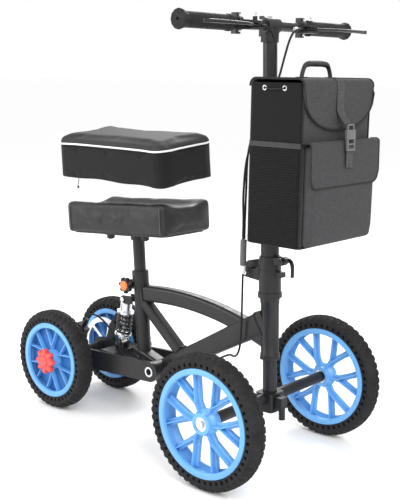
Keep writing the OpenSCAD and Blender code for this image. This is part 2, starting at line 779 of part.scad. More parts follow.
// ---- rear arm ----
module swing_arm() color(frame_black) difference() {
    union() {
        for (side = [-1, 1]) {
            side_plate(side * (arm_in + arm_t / 2) - arm_t / 2, arm_t) {
                link([pivot_x, pivot_z], [rear_x, rear_r], arm_h / 2);
                link([rear_x + 34, rear_r + 10], [rear_x + 50, rear_r + 66], 13);
            }
        }
        translate([rear_x, 0, rear_r]) across(axle_d + 16, arm_w - 2);
        beam([shock_low[0] - 30, shock_low[1] - 23], [shock_low[0] + 22, shock_low[1] - 23],
             2 * arm_in + 2, 10, 2);
        for (side = [-1, 1])
            side_plate(side * (shock_eye_w / 2 + gap + 2.5) - 2.5, 5)
                link(shock_low, shock_low - [0, 20], 9);
    }
    translate([pivot_x, 0, pivot_z]) across(pivot_d + 2 * fit, arm_w + 10);
    translate([rear_x, 0, rear_r]) across(axle_d, arm_w + 10);
    translate([shock_low[0], 0, shock_low[1]]) across(shock_bolt_d, 60);
}

module rear_axle() color(steel) translate([rear_x, 0, rear_r])
    across(axle_d, rear_track + rear_hub_w + 26);

// Caliper astride the disc, on a tab of the rear arm
module brake_calipers() color("black") for (side = [0, 1]) mirror([0, side, 0]) {
    difference() {
        translate([rear_x + 55, disc_y, rear_r + 76]) rotate([0, 34, 0]) union() {
            box([32, caliper_w, 50], [0, 0, 0]);
            translate([-2, barrel_y, 24]) cylinder(d = barrel_d, h = 23);
        }
        translate([rear_x, disc_y, rear_r]) across(disc_d + 8, 4);
    }
}

module shock_bottom_bolt() color(steel) translate([shock_low[0], 0, shock_low[1]]) {
    reach = shock_eye_w / 2 + gap + 5;
    across_from(shock_bolt_d, -reach, reach);
    across_from(13, -reach - 4, -reach);
    across_from(13, reach, reach + 4);
}

// ---- shock absorber: drawn along +Z from its top bolt ----
module shock_body() color(steel) on_shock() difference() {
    union() {
        across(shock_eye_d, shock_eye_w);
        translate([0, 0, 6]) cylinder(d = shock_can_d - 12, h = 8);
        translate([0, 0, 12]) cylinder(d = shock_can_d, h = coil_top - 12 - seat_disc_t);
        translate([0, 0, coil_top - seat_disc_t]) cylinder(d = seat_disc_d, h = seat_disc_t);
        translate([0, 0, coil_top]) cylinder(d = shock_tube_d, h = 36);
    }
    across(shock_bolt_d + 2 * fit, 60);
    translate([0, 0, 22]) cylinder(d = shock_rod_d + 2 * fit, h = 60);
}

module shock_rod() color(steel) on_shock() difference() {
    union() {
        translate([0, 0, 48]) cylinder(d = shock_rod_d, h = coil_low - 44);
        translate([0, 0, coil_low]) cylinder(d = seat_disc_d, h = seat_disc_t);
        translate([0, 0, coil_low + seat_disc_t]) cylinder(d = 20, h = 12);
        translate([0, 0, shock_len]) across(shock_eye_d, shock_eye_w);
    }
    translate([0, 0, shock_len]) across(shock_bolt_d + 3, 60);
}

module shock_spring() color([0.05, 0.05, 0.05]) on_shock() {
    low = coil_top + wire_d / 2;
    high = coil_low - wire_d / 2;
    steps = 12 * coil_turns;
    swept([for (i = [0 : steps]) [coil_d / 2 * cos(30 * i), coil_d / 2 * sin(30 * i),
           low + (high - low) * i / steps]], wire_d / 2, 8, [0, 0, 1]);
}

// ---- wheels: drawn around the Y axis at the origin ----
module tyre(r, rim_r, w) {
    rotate([90, 0, 0]) rotate_extrude() {
        translate([rim_r, -w / 2]) square([r - tyre_round - rim_r, w]);
        translate([r - tyre_round - 1, -w / 2 + tyre_round]) square([tyre_round + 1, w - 2 * tyre_round]);
        for (side = [-1, 1])
            translate([r - tyre_round, side * (w / 2 - tyre_round)]) circle(tyre_round);
    }
}

// Six stems from the hub, each forking to two places on the rim
module spokes(rim_in, w) {
    fork = fork_r * rim_in;
    for (k = [0 : 5]) rotate(60 * k) {
        translate([0, -w / 2]) square([fork, w]);
        for (side = [-1, 1]) {
            foot = [fork, 0];
            tip = (rim_in + 2) * [cos(15), side * sin(15)];
            turn = atan2(tip[1] - foot[1], tip[0] - foot[0]);
            translate(foot) rotate(turn) translate([0, -w / 2]) square([norm(tip - foot), w]);
            translate(foot) circle(d = w);
        }
    }
}

module rim(rim_r, w, hub_len, closed) {
    rim_in = rim_r - flange_h;
    rotate([90, 0, 0]) difference() {
        union() {
            difference() {
                cylinder(r = rim_r, h = w - 3, center = true);
                cylinder(r = rim_r - band_t, h = w, center = true);
            }
            for (side = [-1, 1]) translate([0, 0, side * (w / 2 - 4.5)]) difference() {
                cylinder(r = rim_r, h = 6, center = true);
                cylinder(r = rim_in, h = 8, center = true);
            }
            linear_extrude(web_t, center = true) spokes(rim_r - band_t, closed ? rib_t : spoke_w);
            linear_extrude(w - 16, center = true) spokes(rim_r - band_t, rib_t);
            if (closed) cylinder(r = rim_r - band_t + 0.5, h = 4, center = true);
            cylinder(d = hub_d, h = hub_len, center = true);
        }
        cylinder(d = bearing_d - 8, h = hub_len + 10, center = true);
        for (side = [-1, 1]) translate([0, 0, side * (hub_len / 2 - bearing_w / 2 + 0.5)])
            cylinder(d = bearing_d, h = bearing_w + 1, center = true);
    }
}

module bearings(hub_len) {
    for (side = [-1, 1]) translate([0, side * (hub_len / 2 - bearing_w / 2), 0]) difference() {
        across(bearing_d, bearing_w);
        across(axle_d + 2 * fit, bearing_w + 2);
    }
}

module at_front(side) {
    translate([front_x, side * front_track / 2, front_r]) children();
}

module at_rear(side) {
    translate([rear_x, side * rear_track / 2, rear_r]) rotate([0, 30, 0]) children();
}

module front_tyre() color([0.07, 0.07, 0.07]) tyre(front_r, front_rim_r, front_tyre_w);
module front_rim() color(rim_blue) rim(front_rim_r, front_tyre_w - 1, hub_w, false);
module rear_tyre() color([0.07, 0.07, 0.07]) tyre(rear_r, rear_rim_r, rear_tyre_w);
module rear_rim() color(rim_blue) rim(rear_rim_r, rear_tyre_w - 1, rear_hub_w, true);

module front_tyre_left() at_front(1) front_tyre();
module front_tyre_right() at_front(-1) front_tyre();
module front_rim_left() at_front(1) front_rim();
module front_rim_right() at_front(-1) front_rim();
module front_bearings_left() color(steel) at_front(1) bearings(hub_w);
module front_bearings_right() color(steel) at_front(-1) bearings(hub_w);
module rear_tyre_left() at_rear(1) rear_tyre();
module rear_tyre_right() at_rear(-1) rear_tyre();
module rear_rim_left() at_rear(1) rear_rim();
module rear_rim_right() at_rear(-1) rear_rim();
module rear_bearings_left() color(steel) at_rear(1) bearings(rear_hub_w);
module rear_bearings_right() color(steel) at_rear(-1) bearings(rear_hub_w);

// Disc with a boss that reaches the hub's inner face
module brake_disc() {
    hub_face = rear_track / 2 - rear_hub_w / 2;
    difference() {
        union() {
            across_from(disc_d, disc_y - 1, disc_y + 1);
            across_from(44, disc_y - 2, hub_face);
        }
        across(axle_d + 12, 400);
        for (k = [0 : 5]) rotate([0, 60 * k, 0]) translate([disc_d * 0.34, 0, 0]) across(24, 400);
    }
}

module brake_disc_left() color(steel) translate([rear_x, 0, rear_r]) brake_disc();
module brake_disc_right() color(steel) translate([rear_x, 0, rear_r]) mirror([0, 1, 0]) brake_disc();

// Eight-lobed knob on the outer end of the rear axle
module drag_knob() {
    face = rear_track / 2 + rear_hub_w / 2 + 2;
    difference() {
        union() {
            side_plate(face, 15) star(34, 8);
            across_from(46, face + 15, face + 19);
        }
        across_from(axle_d + 2 * fit, face - 10, face + 12);
    }
}

module drag_knob_left() color([0.92, 0.22, 0.2]) translate([rear_x, 0, rear_r]) drag_knob();
module drag_knob_right() color([0.92, 0.22, 0.2]) translate([rear_x, 0, rear_r])
    mirror([0, 1, 0]) drag_knob();

main_frame();
head_bearings();
swing_pivot();
seat_clamp();
shock_top_bolt();
brake_cable_lower();
steering_tube();
axle_beam();
front_axle_bolts();
fold_base();
fold_pin();
front_tyre_left();
front_rim_left();
front_bearings_left();
front_tyre_right();
front_rim_right();
front_bearings_right();
column_foot();
column_tube();
stem_clamp();
bag_body();
bag_pocket();
bag_brackets();
cable_splitter();
fold_lever();
stem_tube();
handlebar_clamp();
handlebar();
grips();
lever_brackets();
lever_cables();
brake_lever_left();
brake_lever_right();
bag_flap();
bag_handle();
bag_strap();
seat_post();
seat_bracket();
seat_pan();
seat_pad();
seat_bolts();
pad_cover();
seat_knob();
swing_arm();
rear_axle();
brake_calipers();
shock_bottom_bolt();
rear_tyre_left();
rear_rim_left();
rear_bearings_left();
brake_disc_left();
rear_tyre_right();
rear_rim_right();
rear_bearings_right();
brake_disc_right();
drag_knob_left();
drag_knob_right();
shock_body();
shock_rod();
shock_spring();
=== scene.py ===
"""Looks of the knee scooter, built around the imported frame. Lengths are metres, except the numbers
that go through mm() or pairs() and the cable routes, which are millimetres."""

import json
from math import copysign, cos, exp, pi, radians, sin, sqrt, tanh, tau

import bmesh
import bpy
from mathutils import Matrix, Vector, noise


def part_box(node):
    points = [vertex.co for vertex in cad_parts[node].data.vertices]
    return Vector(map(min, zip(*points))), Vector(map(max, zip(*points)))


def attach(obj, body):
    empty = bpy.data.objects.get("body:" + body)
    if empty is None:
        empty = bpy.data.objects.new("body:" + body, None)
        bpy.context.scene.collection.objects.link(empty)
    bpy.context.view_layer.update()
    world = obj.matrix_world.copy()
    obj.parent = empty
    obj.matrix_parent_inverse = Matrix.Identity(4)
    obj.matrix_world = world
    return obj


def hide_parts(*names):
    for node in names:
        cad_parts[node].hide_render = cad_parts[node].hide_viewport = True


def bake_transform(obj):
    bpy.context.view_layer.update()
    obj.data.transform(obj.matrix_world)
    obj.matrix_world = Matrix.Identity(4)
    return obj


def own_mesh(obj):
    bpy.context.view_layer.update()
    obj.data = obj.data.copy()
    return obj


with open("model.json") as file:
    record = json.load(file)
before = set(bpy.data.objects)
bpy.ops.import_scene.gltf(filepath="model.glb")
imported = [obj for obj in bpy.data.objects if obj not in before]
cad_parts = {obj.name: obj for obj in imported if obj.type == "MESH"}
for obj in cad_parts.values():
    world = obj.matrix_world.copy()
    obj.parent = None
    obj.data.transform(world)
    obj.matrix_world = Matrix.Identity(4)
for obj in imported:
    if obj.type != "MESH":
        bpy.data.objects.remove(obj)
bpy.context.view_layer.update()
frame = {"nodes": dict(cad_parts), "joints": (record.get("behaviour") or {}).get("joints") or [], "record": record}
X_AXIS = Vector((1, 0, 0))
Y_AXIS = Vector((0, 1, 0))
UP = Vector((0, 0, 1))


# ---- places, all worked out from the frame ----
def mm(*values):
    """A vector, or one length, from millimetres."""
    return Vector(values) * 0.001 if len(values) > 1 else values[0] * 0.001


def pairs(*values):
    """Points of an outline or a profile, from pairs of millimetres."""
    return [(mm(a), mm(b)) for a, b in values]


def box(node):
    """The two far corners of a CAD node."""
    return [Vector(v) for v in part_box(node)]


def centre(node):
    low, high = box(node)
    return (low + high) / 2


def share(value):
    """A value held between 0 and 1."""
    return min(max(value, 0), 1)


def polar(turn, radius=1.0):
    """A point at an angle in the plane of the wheels."""
    return Vector((cos(turn), 0, sin(turn))) * radius


def around(side, other, turn):
    """A direction at an angle between two others."""
    return side * cos(turn) + other * sin(turn)


def heading(path, i):
    """Direction of a path at its point i."""
    return (path[min(i + 1, len(path) - 1)] - path[max(i - 1, 0)]).normalized()


def quarter(steps, first, last):
    """Sine and cosine of steps first to last of a quarter turn."""
    turns = [radians(90 * k / steps) for k in range(first, last + 1)]
    return [(sin(turn), cos(turn)) for turn in turns]


def joint_axis(name):
    for joint in frame["joints"]:
        if joint["name"] == name:
            return Vector(joint["axis"]).normalized()
    raise KeyError(name)


FRONT = centre("front_axle_bolts")
REAR = centre("rear_axle")
PIVOT = centre("swing_pivot")
COLUMN_UP = joint_axis("stem_height")
POST_UP = joint_axis("seat_height")
POST_FOOT = Vector((PIVOT.x - mm(73.5), 0, PIVOT.z))


def tilted(origin, up):
    """Matrix of a frame at origin whose Z is up and whose Y stays level."""
    forward = Y_AXIS.cross(up).normalized()
    return Matrix.Translation(origin) @ Matrix((forward, Y_AXIS, up)).transposed().to_4x4()


COLUMN = tilted(FRONT, COLUMN_UP)
POST = tilted(POST_FOOT, POST_UP)
BAR = centre("handlebar")
BAG_LOW, BAG_HIGH = box("bag_body")
POCKET_HIGH = box("bag_pocket")[1]
LID_HIGH = box("bag_flap")[1]


# ---- materials ----
class Shader:
    """A Principled material with a few short ways to add nodes to it."""

    def __init__(self, name, colour, roughness=0.5, metallic=0.0, **sockets):
        self.material = bpy.data.materials.new(name)
        self.material.use_nodes = True
        self.tree = self.material.node_tree
        self.surface = self.tree.nodes["Principled BSDF"]
        self.surface.inputs["Base Color"].default_value = (*colour, 1)
        self.surface.inputs["Roughness"].default_value = roughness
        self.surface.inputs["Metallic"].default_value = metallic
        for socket, value in sockets.items():
            self.surface.inputs[socket.replace("_", " ")].default_value = value
        self.place = self.add("ShaderNodeTexCoord").outputs["Object"]

    def add(self, kind, **values):
        node = self.tree.nodes.new(kind)
        for key, value in values.items():
            if hasattr(node, key):
                setattr(node, key, value)
            else:
                node.inputs[key.replace("_", " ")].default_value = value
        return node

    def link(self, start, end):
        self.tree.links.new(start, end)

    def noise(self, scale, detail=3.0, stretch=(1, 1, 1)):
        mapping = self.add("ShaderNodeMapping")
        mapping.inputs["Scale"].default_value = stretch
        self.link(self.place, mapping.inputs["Vector"])
        texture = self.add("ShaderNodeTexNoise", Scale=scale, Detail=detail)
        self.link(mapping.outputs["Vector"], texture.inputs["Vector"])
        return texture.outputs["Fac"]

    def cells(self, scale):
        texture = self.add("ShaderNodeTexVoronoi", Scale=scale)
        texture.feature = "DISTANCE_TO_EDGE"
        self.link(self.place, texture.inputs["Vector"])
        return texture.outputs["Distance"]

    def ramp(self, value, low, high, start=0.3, end=0.7):
        ramp = self.add("ShaderNodeValToRGB")
        ramp.color_ramp.elements[0].position = start
        ramp.color_ramp.elements[1].position = end
        ramp.color_ramp.elements[0].color = low
        ramp.color_ramp.elements[1].color = high
        self.link(value, ramp.inputs["Fac"])
        return ramp.outputs["Color"]

    def colours(self, value, low, high, start=0.3, end=0.7):
        """Base colour between two tones, by a texture."""
        self.link(self.ramp(value, (*low, 1), (*high, 1), start, end), self.surface.inputs["Base Color"])

    def roughness(self, value, low, high):
        tones = self.ramp(value, (low, low, low, 1), (high, high, high, 1))
        self.link(tones, self.surface.inputs["Roughness"])

    def multiply(self, a, b):
        node = self.add("ShaderNodeMath", operation="MULTIPLY")
        self.link(a, node.inputs[0])
        self.link(b, node.inputs[1])
        return node.outputs["Value"]

    def bump(self, value, distance, strength=1.0):
        """Adds one layer of relief, distance metres deep."""
        layer = self.add("ShaderNodeBump", Strength=strength, Distance=distance)
        self.link(value, layer.inputs["Height"])
        normal = self.surface.inputs["Normal"]
        if normal.links:
            self.link(normal.links[0].from_socket, layer.inputs["Normal"])
        self.link(layer.outputs["Normal"], normal)


def scaled(colour, factor):
    return tuple(c * factor for c in colour)


def moulded(name, colour, rough, tone, gloss, relief, **sockets):
    """An even surface with three noises, each (scale, detail, two values): the darker and paler shares
    of its colour, how far its roughness falls and rises, and its relief's depth and strength."""
    made = Shader(name, colour, rough, **sockets)
    made.colours(made.noise(*tone[:2]), scaled(colour, tone[2]), scaled(colour, tone[3]))
    made.roughness(made.noise(*gloss[:2]), rough - gloss[2], rough + gloss[3])
    made.bump(made.noise(*relief[:2]), *relief[2:])
    return made.material


def coated(name, colour, rough=0.36):
    """Powder coat: a faint orange peel, and a little dust in its gloss."""
    return moulded(name, colour, rough, (9, 4, 0.86, 1.16), (46, 4, 0.07, 0.1), (900, 2, 0.00008, 0.35),
                   Coat_Weight=0.07, Coat_Roughness=0.25, Specular_IOR_Level=0.3)


def metal(name, colour, rough, stretch):
    """Turned or brushed metal, its fine lines across the stretched direction."""
    made = Shader(name, colour, rough, 1.0)
    lines = made.noise(420, 3, stretch)
    made.colours(lines, scaled(colour, 0.82), colour)
    made.roughness(lines, rough - 0.06, rough + 0.14)
    made.bump(lines, 0.00005, 0.3)
    return made.material


def plastic(name, colour, rough, grain_scale=1400, spread=0.1):
    """Moulded plastic with a fine spark texture."""
    return moulded(name, colour, rough, (14, 5, 1 - spread, 1 + spread), (60, 3, 0.05, 0.07),
                   (grain_scale, 2, 0.00006, 0.4), Specular_IOR_Level=0.45)


def rubber(name, colour, rough, grain=0.00025):
    return moulded(name, colour, rough, (32, 6, 0.72, 1.4), (120, 4, 0.1, 0.1), (700, 3, grain, 0.5),
                   Specular_IOR_Level=0.22)


def woven(name, colour, rough=0.85, threads=520, relief=0.00022, heather=0.16):
    """Plain weave: crossed threads in every direction, flecked with paler yarns."""
    made = Shader(name, colour, rough, Sheen_Weight=0.05, Sheen_Roughness=0.5, Specular_IOR_Level=0.2)
    warp = made.noise(threads, 2, (1, 1, 0.14))
    weft = made.noise(threads, 2, (0.14, 0.14, 1))
    both = made.multiply(warp, weft)
    made.colours(both, scaled(colour, 1 - heather), scaled(colour, 1 + heather), 0.14, 0.36)
    made.bump(both, relief, 0.7)
    made.bump(made.noise(22, 3), 0.0012, 0.25)
    return made.material


def hide(name, colour, rough=0.42):
    """Moulded polyurethane skin with a leather grain."""
    made = Shader(name, colour, rough, Specular_IOR_Level=0.3)
    made.colours(made.noise(18, 5), scaled(colour, 0.84), scaled(colour, 1.14))
    made.roughness(made.noise(80, 4), rough - 0.06, rough + 0.1)
    made.bump(made.cells(620), 0.0006, 0.35)
    made.bump(made.noise(30, 3), 0.0006, 0.2)
    return made.material


BLACK = (0.013, 0.013, 0.014)
BAG_GREY = (0.044, 0.044, 0.046)
LIGHT_BLUE = (0.135, 0.375, 0.73)
DEEP_BLUE = (0.030, 0.150, 0.42)
LOOK = {
    "frame_paint": coated("frame_paint", (0.014, 0.014, 0.015)),
    "black_metal": coated("black_metal", (0.011, 0.011, 0.012), 0.42),
    "steel": metal("steel", (0.74, 0.75, 0.77), 0.26, (1, 0.12, 1)),
    "black_plastic": plastic("black_plastic", BLACK, 0.5),
    "cable_rubber": rubber("cable_rubber", (0.008, 0.008, 0.009), 0.5, 0.0001),
    "tyre": rubber("tyre", (0.014, 0.014, 0.015), 0.72, 0.0005),
    "rim_blue": plastic("rim_blue", LIGHT_BLUE, 0.34, 1100, 0.06),
    "grip_rubber": rubber("grip_rubber", (0.012, 0.012, 0.013), 0.62),
    "bag_fabric": woven("bag_fabric", BAG_GREY),
    "webbing": woven("webbing", (0.055, 0.055, 0.057), 0.8, 300, 0.0005, 0.22),
    "pad_vinyl": hide("pad_vinyl", (0.018, 0.018, 0.019)),
    "cover_fabric": woven("cover_fabric", (0.008, 0.008, 0.009), 0.75, 900, 0.00012, 0.1),
    "knob_red": plastic("knob_red", (0.78, 0.085, 0.075), 0.46),
}
WEB_BLUE = plastic("rim_web_blue", DEEP_BLUE, 0.42, 1100, 0.1)
BAG_BLACK = woven("bag_black", (0.006, 0.006, 0.0065), 0.86, 620, 0.0002, 0.2)
BAG_MESH = woven("bag_mesh", (0.004, 0.004, 0.0045), 0.8, 380, 0.0006, 0.5)
BINDING = woven("bag_binding", (0.018, 0.018, 0.019), 0.8, 300, 0.0004, 0.2)
# Painted highlight: the cover's top is the same black cloth as its skirt, made paler here to stand in for the
# light on its upward face.
PAINTED_LIGHT_COVER_TOP = woven("cover_top_painted_highlight", (0.030, 0.030, 0.031), 0.66, 900, 0.00012, 0.1)
PIPING = woven("white_piping", (0.82, 0.82, 0.82), 0.7, 700, 0.0001, 0.06)
BUCKLE = plastic("buckle_plastic", (0.11, 0.11, 0.115), 0.4)
ORANGE = plastic("knob_orange", (0.86, 0.20, 0.055), 0.45)
FERRULE = plastic("white_plastic", (0.82, 0.82, 0.83), 0.35)
BRIGHT = metal("bright_metal", (0.84, 0.85, 0.86), 0.18, (1, 1, 0.2))
THREAD = woven("pad_thread", (0.09, 0.09, 0.092), 0.8, 500, 0.0002, 0.1)

for part in frame["record"]["subparts"]:
    shown = frame["nodes"][part["node"]]
    shown.data.materials.clear()
    shown.data.materials.append(LOOK[part["material_slot"]])


# ---- mesh makers ----
def new_mesh(name, points, faces):
    data = bpy.data.meshes.new(name)
    data.from_pydata([tuple(p) for p in points], [], faces)
    return data


def placed(name, data):
    """A new object in the scene."""
    made = bpy.data.objects.new(name, data)
    bpy.context.scene.collection.objects.link(made)
    return made


def reworked(data, change):
    """Runs change on a mesh in its edit form."""
    work = bmesh.new()
    work.from_mesh(data)
    change(work)
    work.to_mesh(data)
    work.free()


def turn_outwards(work):
    bmesh.ops.recalc_face_normals(work, faces=work.faces)


def thickened(made, thickness, offset=-1):
    """Gives a sheet its thickness: inwards at -1, to both sides at 0."""
    cloth = made.modifiers.new("cloth", "SOLIDIFY")
    cloth.thickness = thickness
    cloth.offset = offset


def piece(name, points, faces, slot, body, replaces=(), blend=None, angle=38, look=None):
    """One finished mesh piece that rides on a body and may stand for CAD nodes. Its look is its
    slot's own unless one is given."""
    data = new_mesh(name, points, faces)
    reworked(data, turn_outwards)
    data.materials.append(look or LOOK[slot])
    data.shade_smooth()
    data.set_sharp_from_angle(angle=radians(angle))
    made = placed(name, data)
    if blend:
        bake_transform(made)
    else:
        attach(made, body)
    if replaces:
        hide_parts(*replaces)
    return made


def apply_modifiers(made):
    """Leaves the shape that the modifiers give, with none of them on the piece."""
    graph = bpy.context.evaluated_depsgraph_get()
    data = bpy.data.meshes.new_from_object(made.evaluated_get(graph))
    made.modifiers.clear()
    made.data = data


class Shape:
    """Points and faces gathered from several simple bodies."""

    def __init__(self):
        self.points = []
        self.faces = []

    def grid(self, rows, closed_rows=False, closed_columns=False):
        """Joins rows of points, all as long as each other, with quads."""
        start = len(self.points)
        wide = len(rows[0])
        for row in rows:
            self.points.extend(row)
        for i in range(len(rows) if closed_rows else len(rows) - 1):
            for j in range(wide if closed_columns else wide - 1):
                a, b = start + i * wide, start + (i + 1) % len(rows) * wide
                self.faces.append((a + j, a + (j + 1) % wide, b + (j + 1) % wide, b + j))
        return start

    def loft(self, rings):
        """A closed body through rings of points, capped at both ends."""
        wide = len(rings[0])
        start = self.grid(rings, closed_columns=True)
        last = start + (len(rings) - 1) * wide
        self.faces.append(tuple(range(start, start + wide)))
        self.faces.append(tuple(range(last, last + wide)))

    def turned(self, profile, place, axis=Y_AXIS, steps=48, shape=None):
        """A body of revolution: profile holds (along the axis, radius) and closes on itself.
        shape(angle, along, radius) may change the radius."""
        side = axis.orthogonal().normalized()
        other = axis.cross(side)
        rows = []
        for i in range(steps):
            turn = tau * i / steps
            way = around(side, other, turn)
            rows.append([place + axis * a + way * (shape(turn, a, r) if shape else r) for a, r in profile])
        self.grid(rows, closed_rows=True, closed_columns=True)

    def rod(self, start, end, radius, sides=24, chamfer=0.0008):
        """A round rod with chamfered ends."""
        axis = (end - start).normalized()
        long = (end - start).length
        side = axis.orthogonal().normalized()
        other = axis.cross(side)
        rings = []
        for along, r in ((0, radius - chamfer), (chamfer, radius),
                         (long - chamfer, radius), (long, radius - chamfer)):
            rings.append([start + axis * along + around(side, other, tau * k / sides) * r
                          for k in range(sides)])
        self.loft(rings)

    def tube(self, path, radius, sides):
        """A round tube along a path."""
        self.loft(tube_rings(path, radius, sides))

    def block(self, low, high, radius=0.0015, matrix=None):
        """A box with rounded edges."""
        low, high = Vector(low), Vector(high)
        start = len(self.points)
        rows, faces = rounded_box(low, high, radius, 1)
        self.points.extend([matrix @ p for p in rows] if matrix else rows)
        self.faces.extend(tuple(start + i for i in face) for face in faces)

    def make(self, name, slot, body, replaces=(), blend=None, angle=38, look=None):
        return piece(name, self.points, self.faces, slot, body, replaces, blend, angle, look)


def tube_rings(path, radius, sides, flat=1.0, first=None):
    """Rings of points around a path, carried along it without twisting. A flat below 1 presses
    them in their second direction, and first is the direction of their first point."""
    rings = []
    side = None
    for i, point in enumerate(path):
        way = heading(path, i)
        if side is None:
            side = (first or way.orthogonal()).normalized()
        side = (side - way * side.dot(way)).normalized()
        other = way.cross(side)
        size = radius(i / (len(path) - 1)) if callable(radius) else radius
        rings.append([point + (side * cos(tau * k / sides)
                      + other * sin(tau * k / sides) * flat) * size for k in range(sides)])
    return rings


def smooth(points, steps=8):
    """A Catmull-Rom curve through the points."""
    points = [Vector(p) for p in points]
    curve = []
    for i in range(len(points) - 1):
        a, b = points[max(i - 1, 0)], points[i]
        c, d = points[i + 1], points[min(i + 2, len(points) - 1)]
        for k in range(steps):
            t = k / steps
            curve.append(0.5 * (2 * b + (c - a) * t + (2 * a - 5 * b + 4 * c - d) * t * t
                                + (3 * b - a - 3 * c + d) * t ** 3))
    curve.append(points[-1])
    return curve


def section(wide, high, radius, corner=5):
    """Outline of a rounded rectangle, as (across, up) pairs."""
    outline = []
    for quarter, (sx, sy) in enumerate(((1, 1), (-1, 1), (-1, -1), (1, -1))):
        for k in range(corner + 1):
            turn = radians(90 * (quarter + k / corner))
            outline.append((sx * (wide / 2 - radius) + radius * cos(turn),
                            sy * (high / 2 - radius) + radius * sin(turn)))
    return outline


def beam_rings(stations):
    """Rings of a frame tube in the middle plane: stations are (centre, wide, high, radius)."""
    rings = []
    places = [station[0] for station in stations]
    for i, (place, wide, high, radius) in enumerate(stations):
        up = heading(places, i).cross(Y_AXIS).normalized()
        rings.append([place + Y_AXIS * a + up * b for a, b in section(wide, high, radius)])
    return rings


def marks(low, high, radius, steps):
    """Grid lines from low to high, close together where an edge is round."""
    arc = [low + radius * k / 4 for k in range(4)]
    flat = [low + radius + (high - low - 2 * radius) * k / steps for k in range(steps + 1)]
    return arc + flat + [low + high - v for v in reversed(arc)]


def rounded_box(low, high, radius, steps):
    """Points and faces of a box with round edges and steps squares between them."""
    lines = [marks(low[i], high[i], radius, steps) for i in range(3)]
    index, points, faces = {}, [], []

    def corner(p):
        key = tuple(round(v, 7) for v in p)
        if key not in index:
            index[key] = len(points)
            core = Vector([min(max(p[i], low[i] + radius), high[i] - radius) for i in range(3)])
            off = Vector(p) - core
            points.append(core + off.normalized() * radius if off.length > 1e-9 else core)
        return index[key]

    for axis in range(3):
        u, v = (axis + 1) % 3, (axis + 2) % 3
        for side in (low[axis], high[axis]):
            for i in range(len(lines[u]) - 1):
                for j in range(len(lines[v]) - 1):
                    face = []
                    for a, b in ((i, j), (i + 1, j), (i + 1, j + 1), (i, j + 1)):
                        p = [0, 0, 0]
                        p[axis], p[u], p[v] = side, lines[u][a], lines[v][b]
                        face.append(corner(p))
                    faces.append(tuple(face))
    return points, faces


def along_column(x, height, y=0.0):
    return COLUMN @ mm(x, y, height)


def on_post(x, y, z):
    return POST @ mm(x, y, z)


# ---- wheels ----
TREAD_DEPTH = mm(3.2)
CELL_STEPS = 6
WELD_GAP = 0.00002


def tyre(node, body, width, rim_r, radius, cells):
    """Solid tyre: knobbly shoulders, a groove down each side and a row of round blind holes."""
    hub = centre(node)
    steps = cells * CELL_STEPS
    half = width / 2
    hole_in, hole_out = rim_r + mm(2.5), rim_r + mm(13.5)
    right = [(half - mm(1.5), hole_out), (half - mm(0.2), hole_out + mm(4)), (half, radius - mm(13)),
             (half - mm(0.8), radius - mm(9)), (half - mm(3.5), radius - mm(5)),
             (half - mm(7.5), radius - mm(2)), (half - mm(12), radius - mm(0.5)),
             (half - mm(15), radius - mm(0.1)), (mm(3.5), radius), (mm(2.2), radius - mm(1.8))]
    crown = right + [(-a, r) for a, r in reversed(right)]

    def tread(step, a, r):
        deep = r - (radius - mm(10))
        if deep <= 0:
            return r
        shoulder = abs(a) > half - mm(13)
        phase = (step / CELL_STEPS + (0.5 if shoulder else 0) + (0.25 if a > 0 else 0)) % 1
        return r - TREAD_DEPTH * (phase < 0.34 and abs(a) > mm(3.6) and (shoulder or phase < 0.2))

    def at(step, a, r):
        turn = tau * step / steps
        return hub + Vector((cos(turn) * r, a, sin(turn) * r))

    shape = Shape()
    shape.grid([[at(i, a, tread(i, a, r)) for a, r in crown] for i in range(steps)], closed_rows=True)
    bead = [(half - mm(1.5), hole_in), (half - mm(3.5), rim_r), (-half + mm(3.5), rim_r),
            (-half + mm(1.5), hole_in)]
    shape.grid([[at(i, a, r) for a, r in bead] for i in range(steps)], closed_rows=True)
    for side in (-1, 1):
        wall = side * (half - mm(1.5))
        for cell in range(cells):
            first = cell * CELL_STEPS
            edge = [(first + k, hole_in) for k in range(CELL_STEPS + 1)]
            edge += [(first + CELL_STEPS - k, hole_out) for k in range(CELL_STEPS + 1)]
            middle = at(first + CELL_STEPS // 2, wall, (hole_in + hole_out) / 2)
            rings = [[at(s, wall, r) for s, r in edge]]
            for size, deep in ((mm(4.6), 0), (mm(4.2), mm(0.5)), (mm(4.0), mm(7))):
                rings.append([middle + (p - middle).normalized() * size - Y_AXIS * side * deep
                              for p in rings[0]])
            start = shape.grid(rings, closed_columns=True)
            floor_row = start + 3 * len(edge)
            shape.faces.append(tuple(range(floor_row, floor_row + len(edge))))
    made = shape.make(node + "_tread", "tyre", body, [node], angle=50)

    def join(work):
        bmesh.ops.remove_doubles(work, verts=work.verts, dist=WELD_GAP)
        turn_outwards(work)

    reworked(made.data, join)


def rib(shape, hub, start, end, low, high, thick):
    """A tapered rib in the wheel plane from start to end (x, z), and from low to high in y."""
    way = (end - start).normalized()
    across = Vector((-way.z, 0, way.x))
    rings = []
    for place, grow in ((start, 1.25), (start.lerp(end, 0.5), 1.0), (end, 1.2)):
        ring = []
        for a, b in section(1, 1, 0.22, 3):
            ring.append(hub + place + across * a * thick * grow + Y_AXIS * ((low + high) / 2 + b * (high - low)))
        rings.append(ring)
    shape.loft(rings)


def spoke_lines(rim_in, fork, first):
    """Each stem and its two branches, as (start, end) in the wheel plane."""
    lines = []
    for k in range(6):
        turn = first + tau * k / 6
        knot = polar(turn, fork)
        lines.append((knot * (mm(18) / fork), knot, True))
        for side in (-1, 1):
            tip = turn + side * radians(15)
            lines.append((knot, polar(tip, rim_in), False))
    return lines


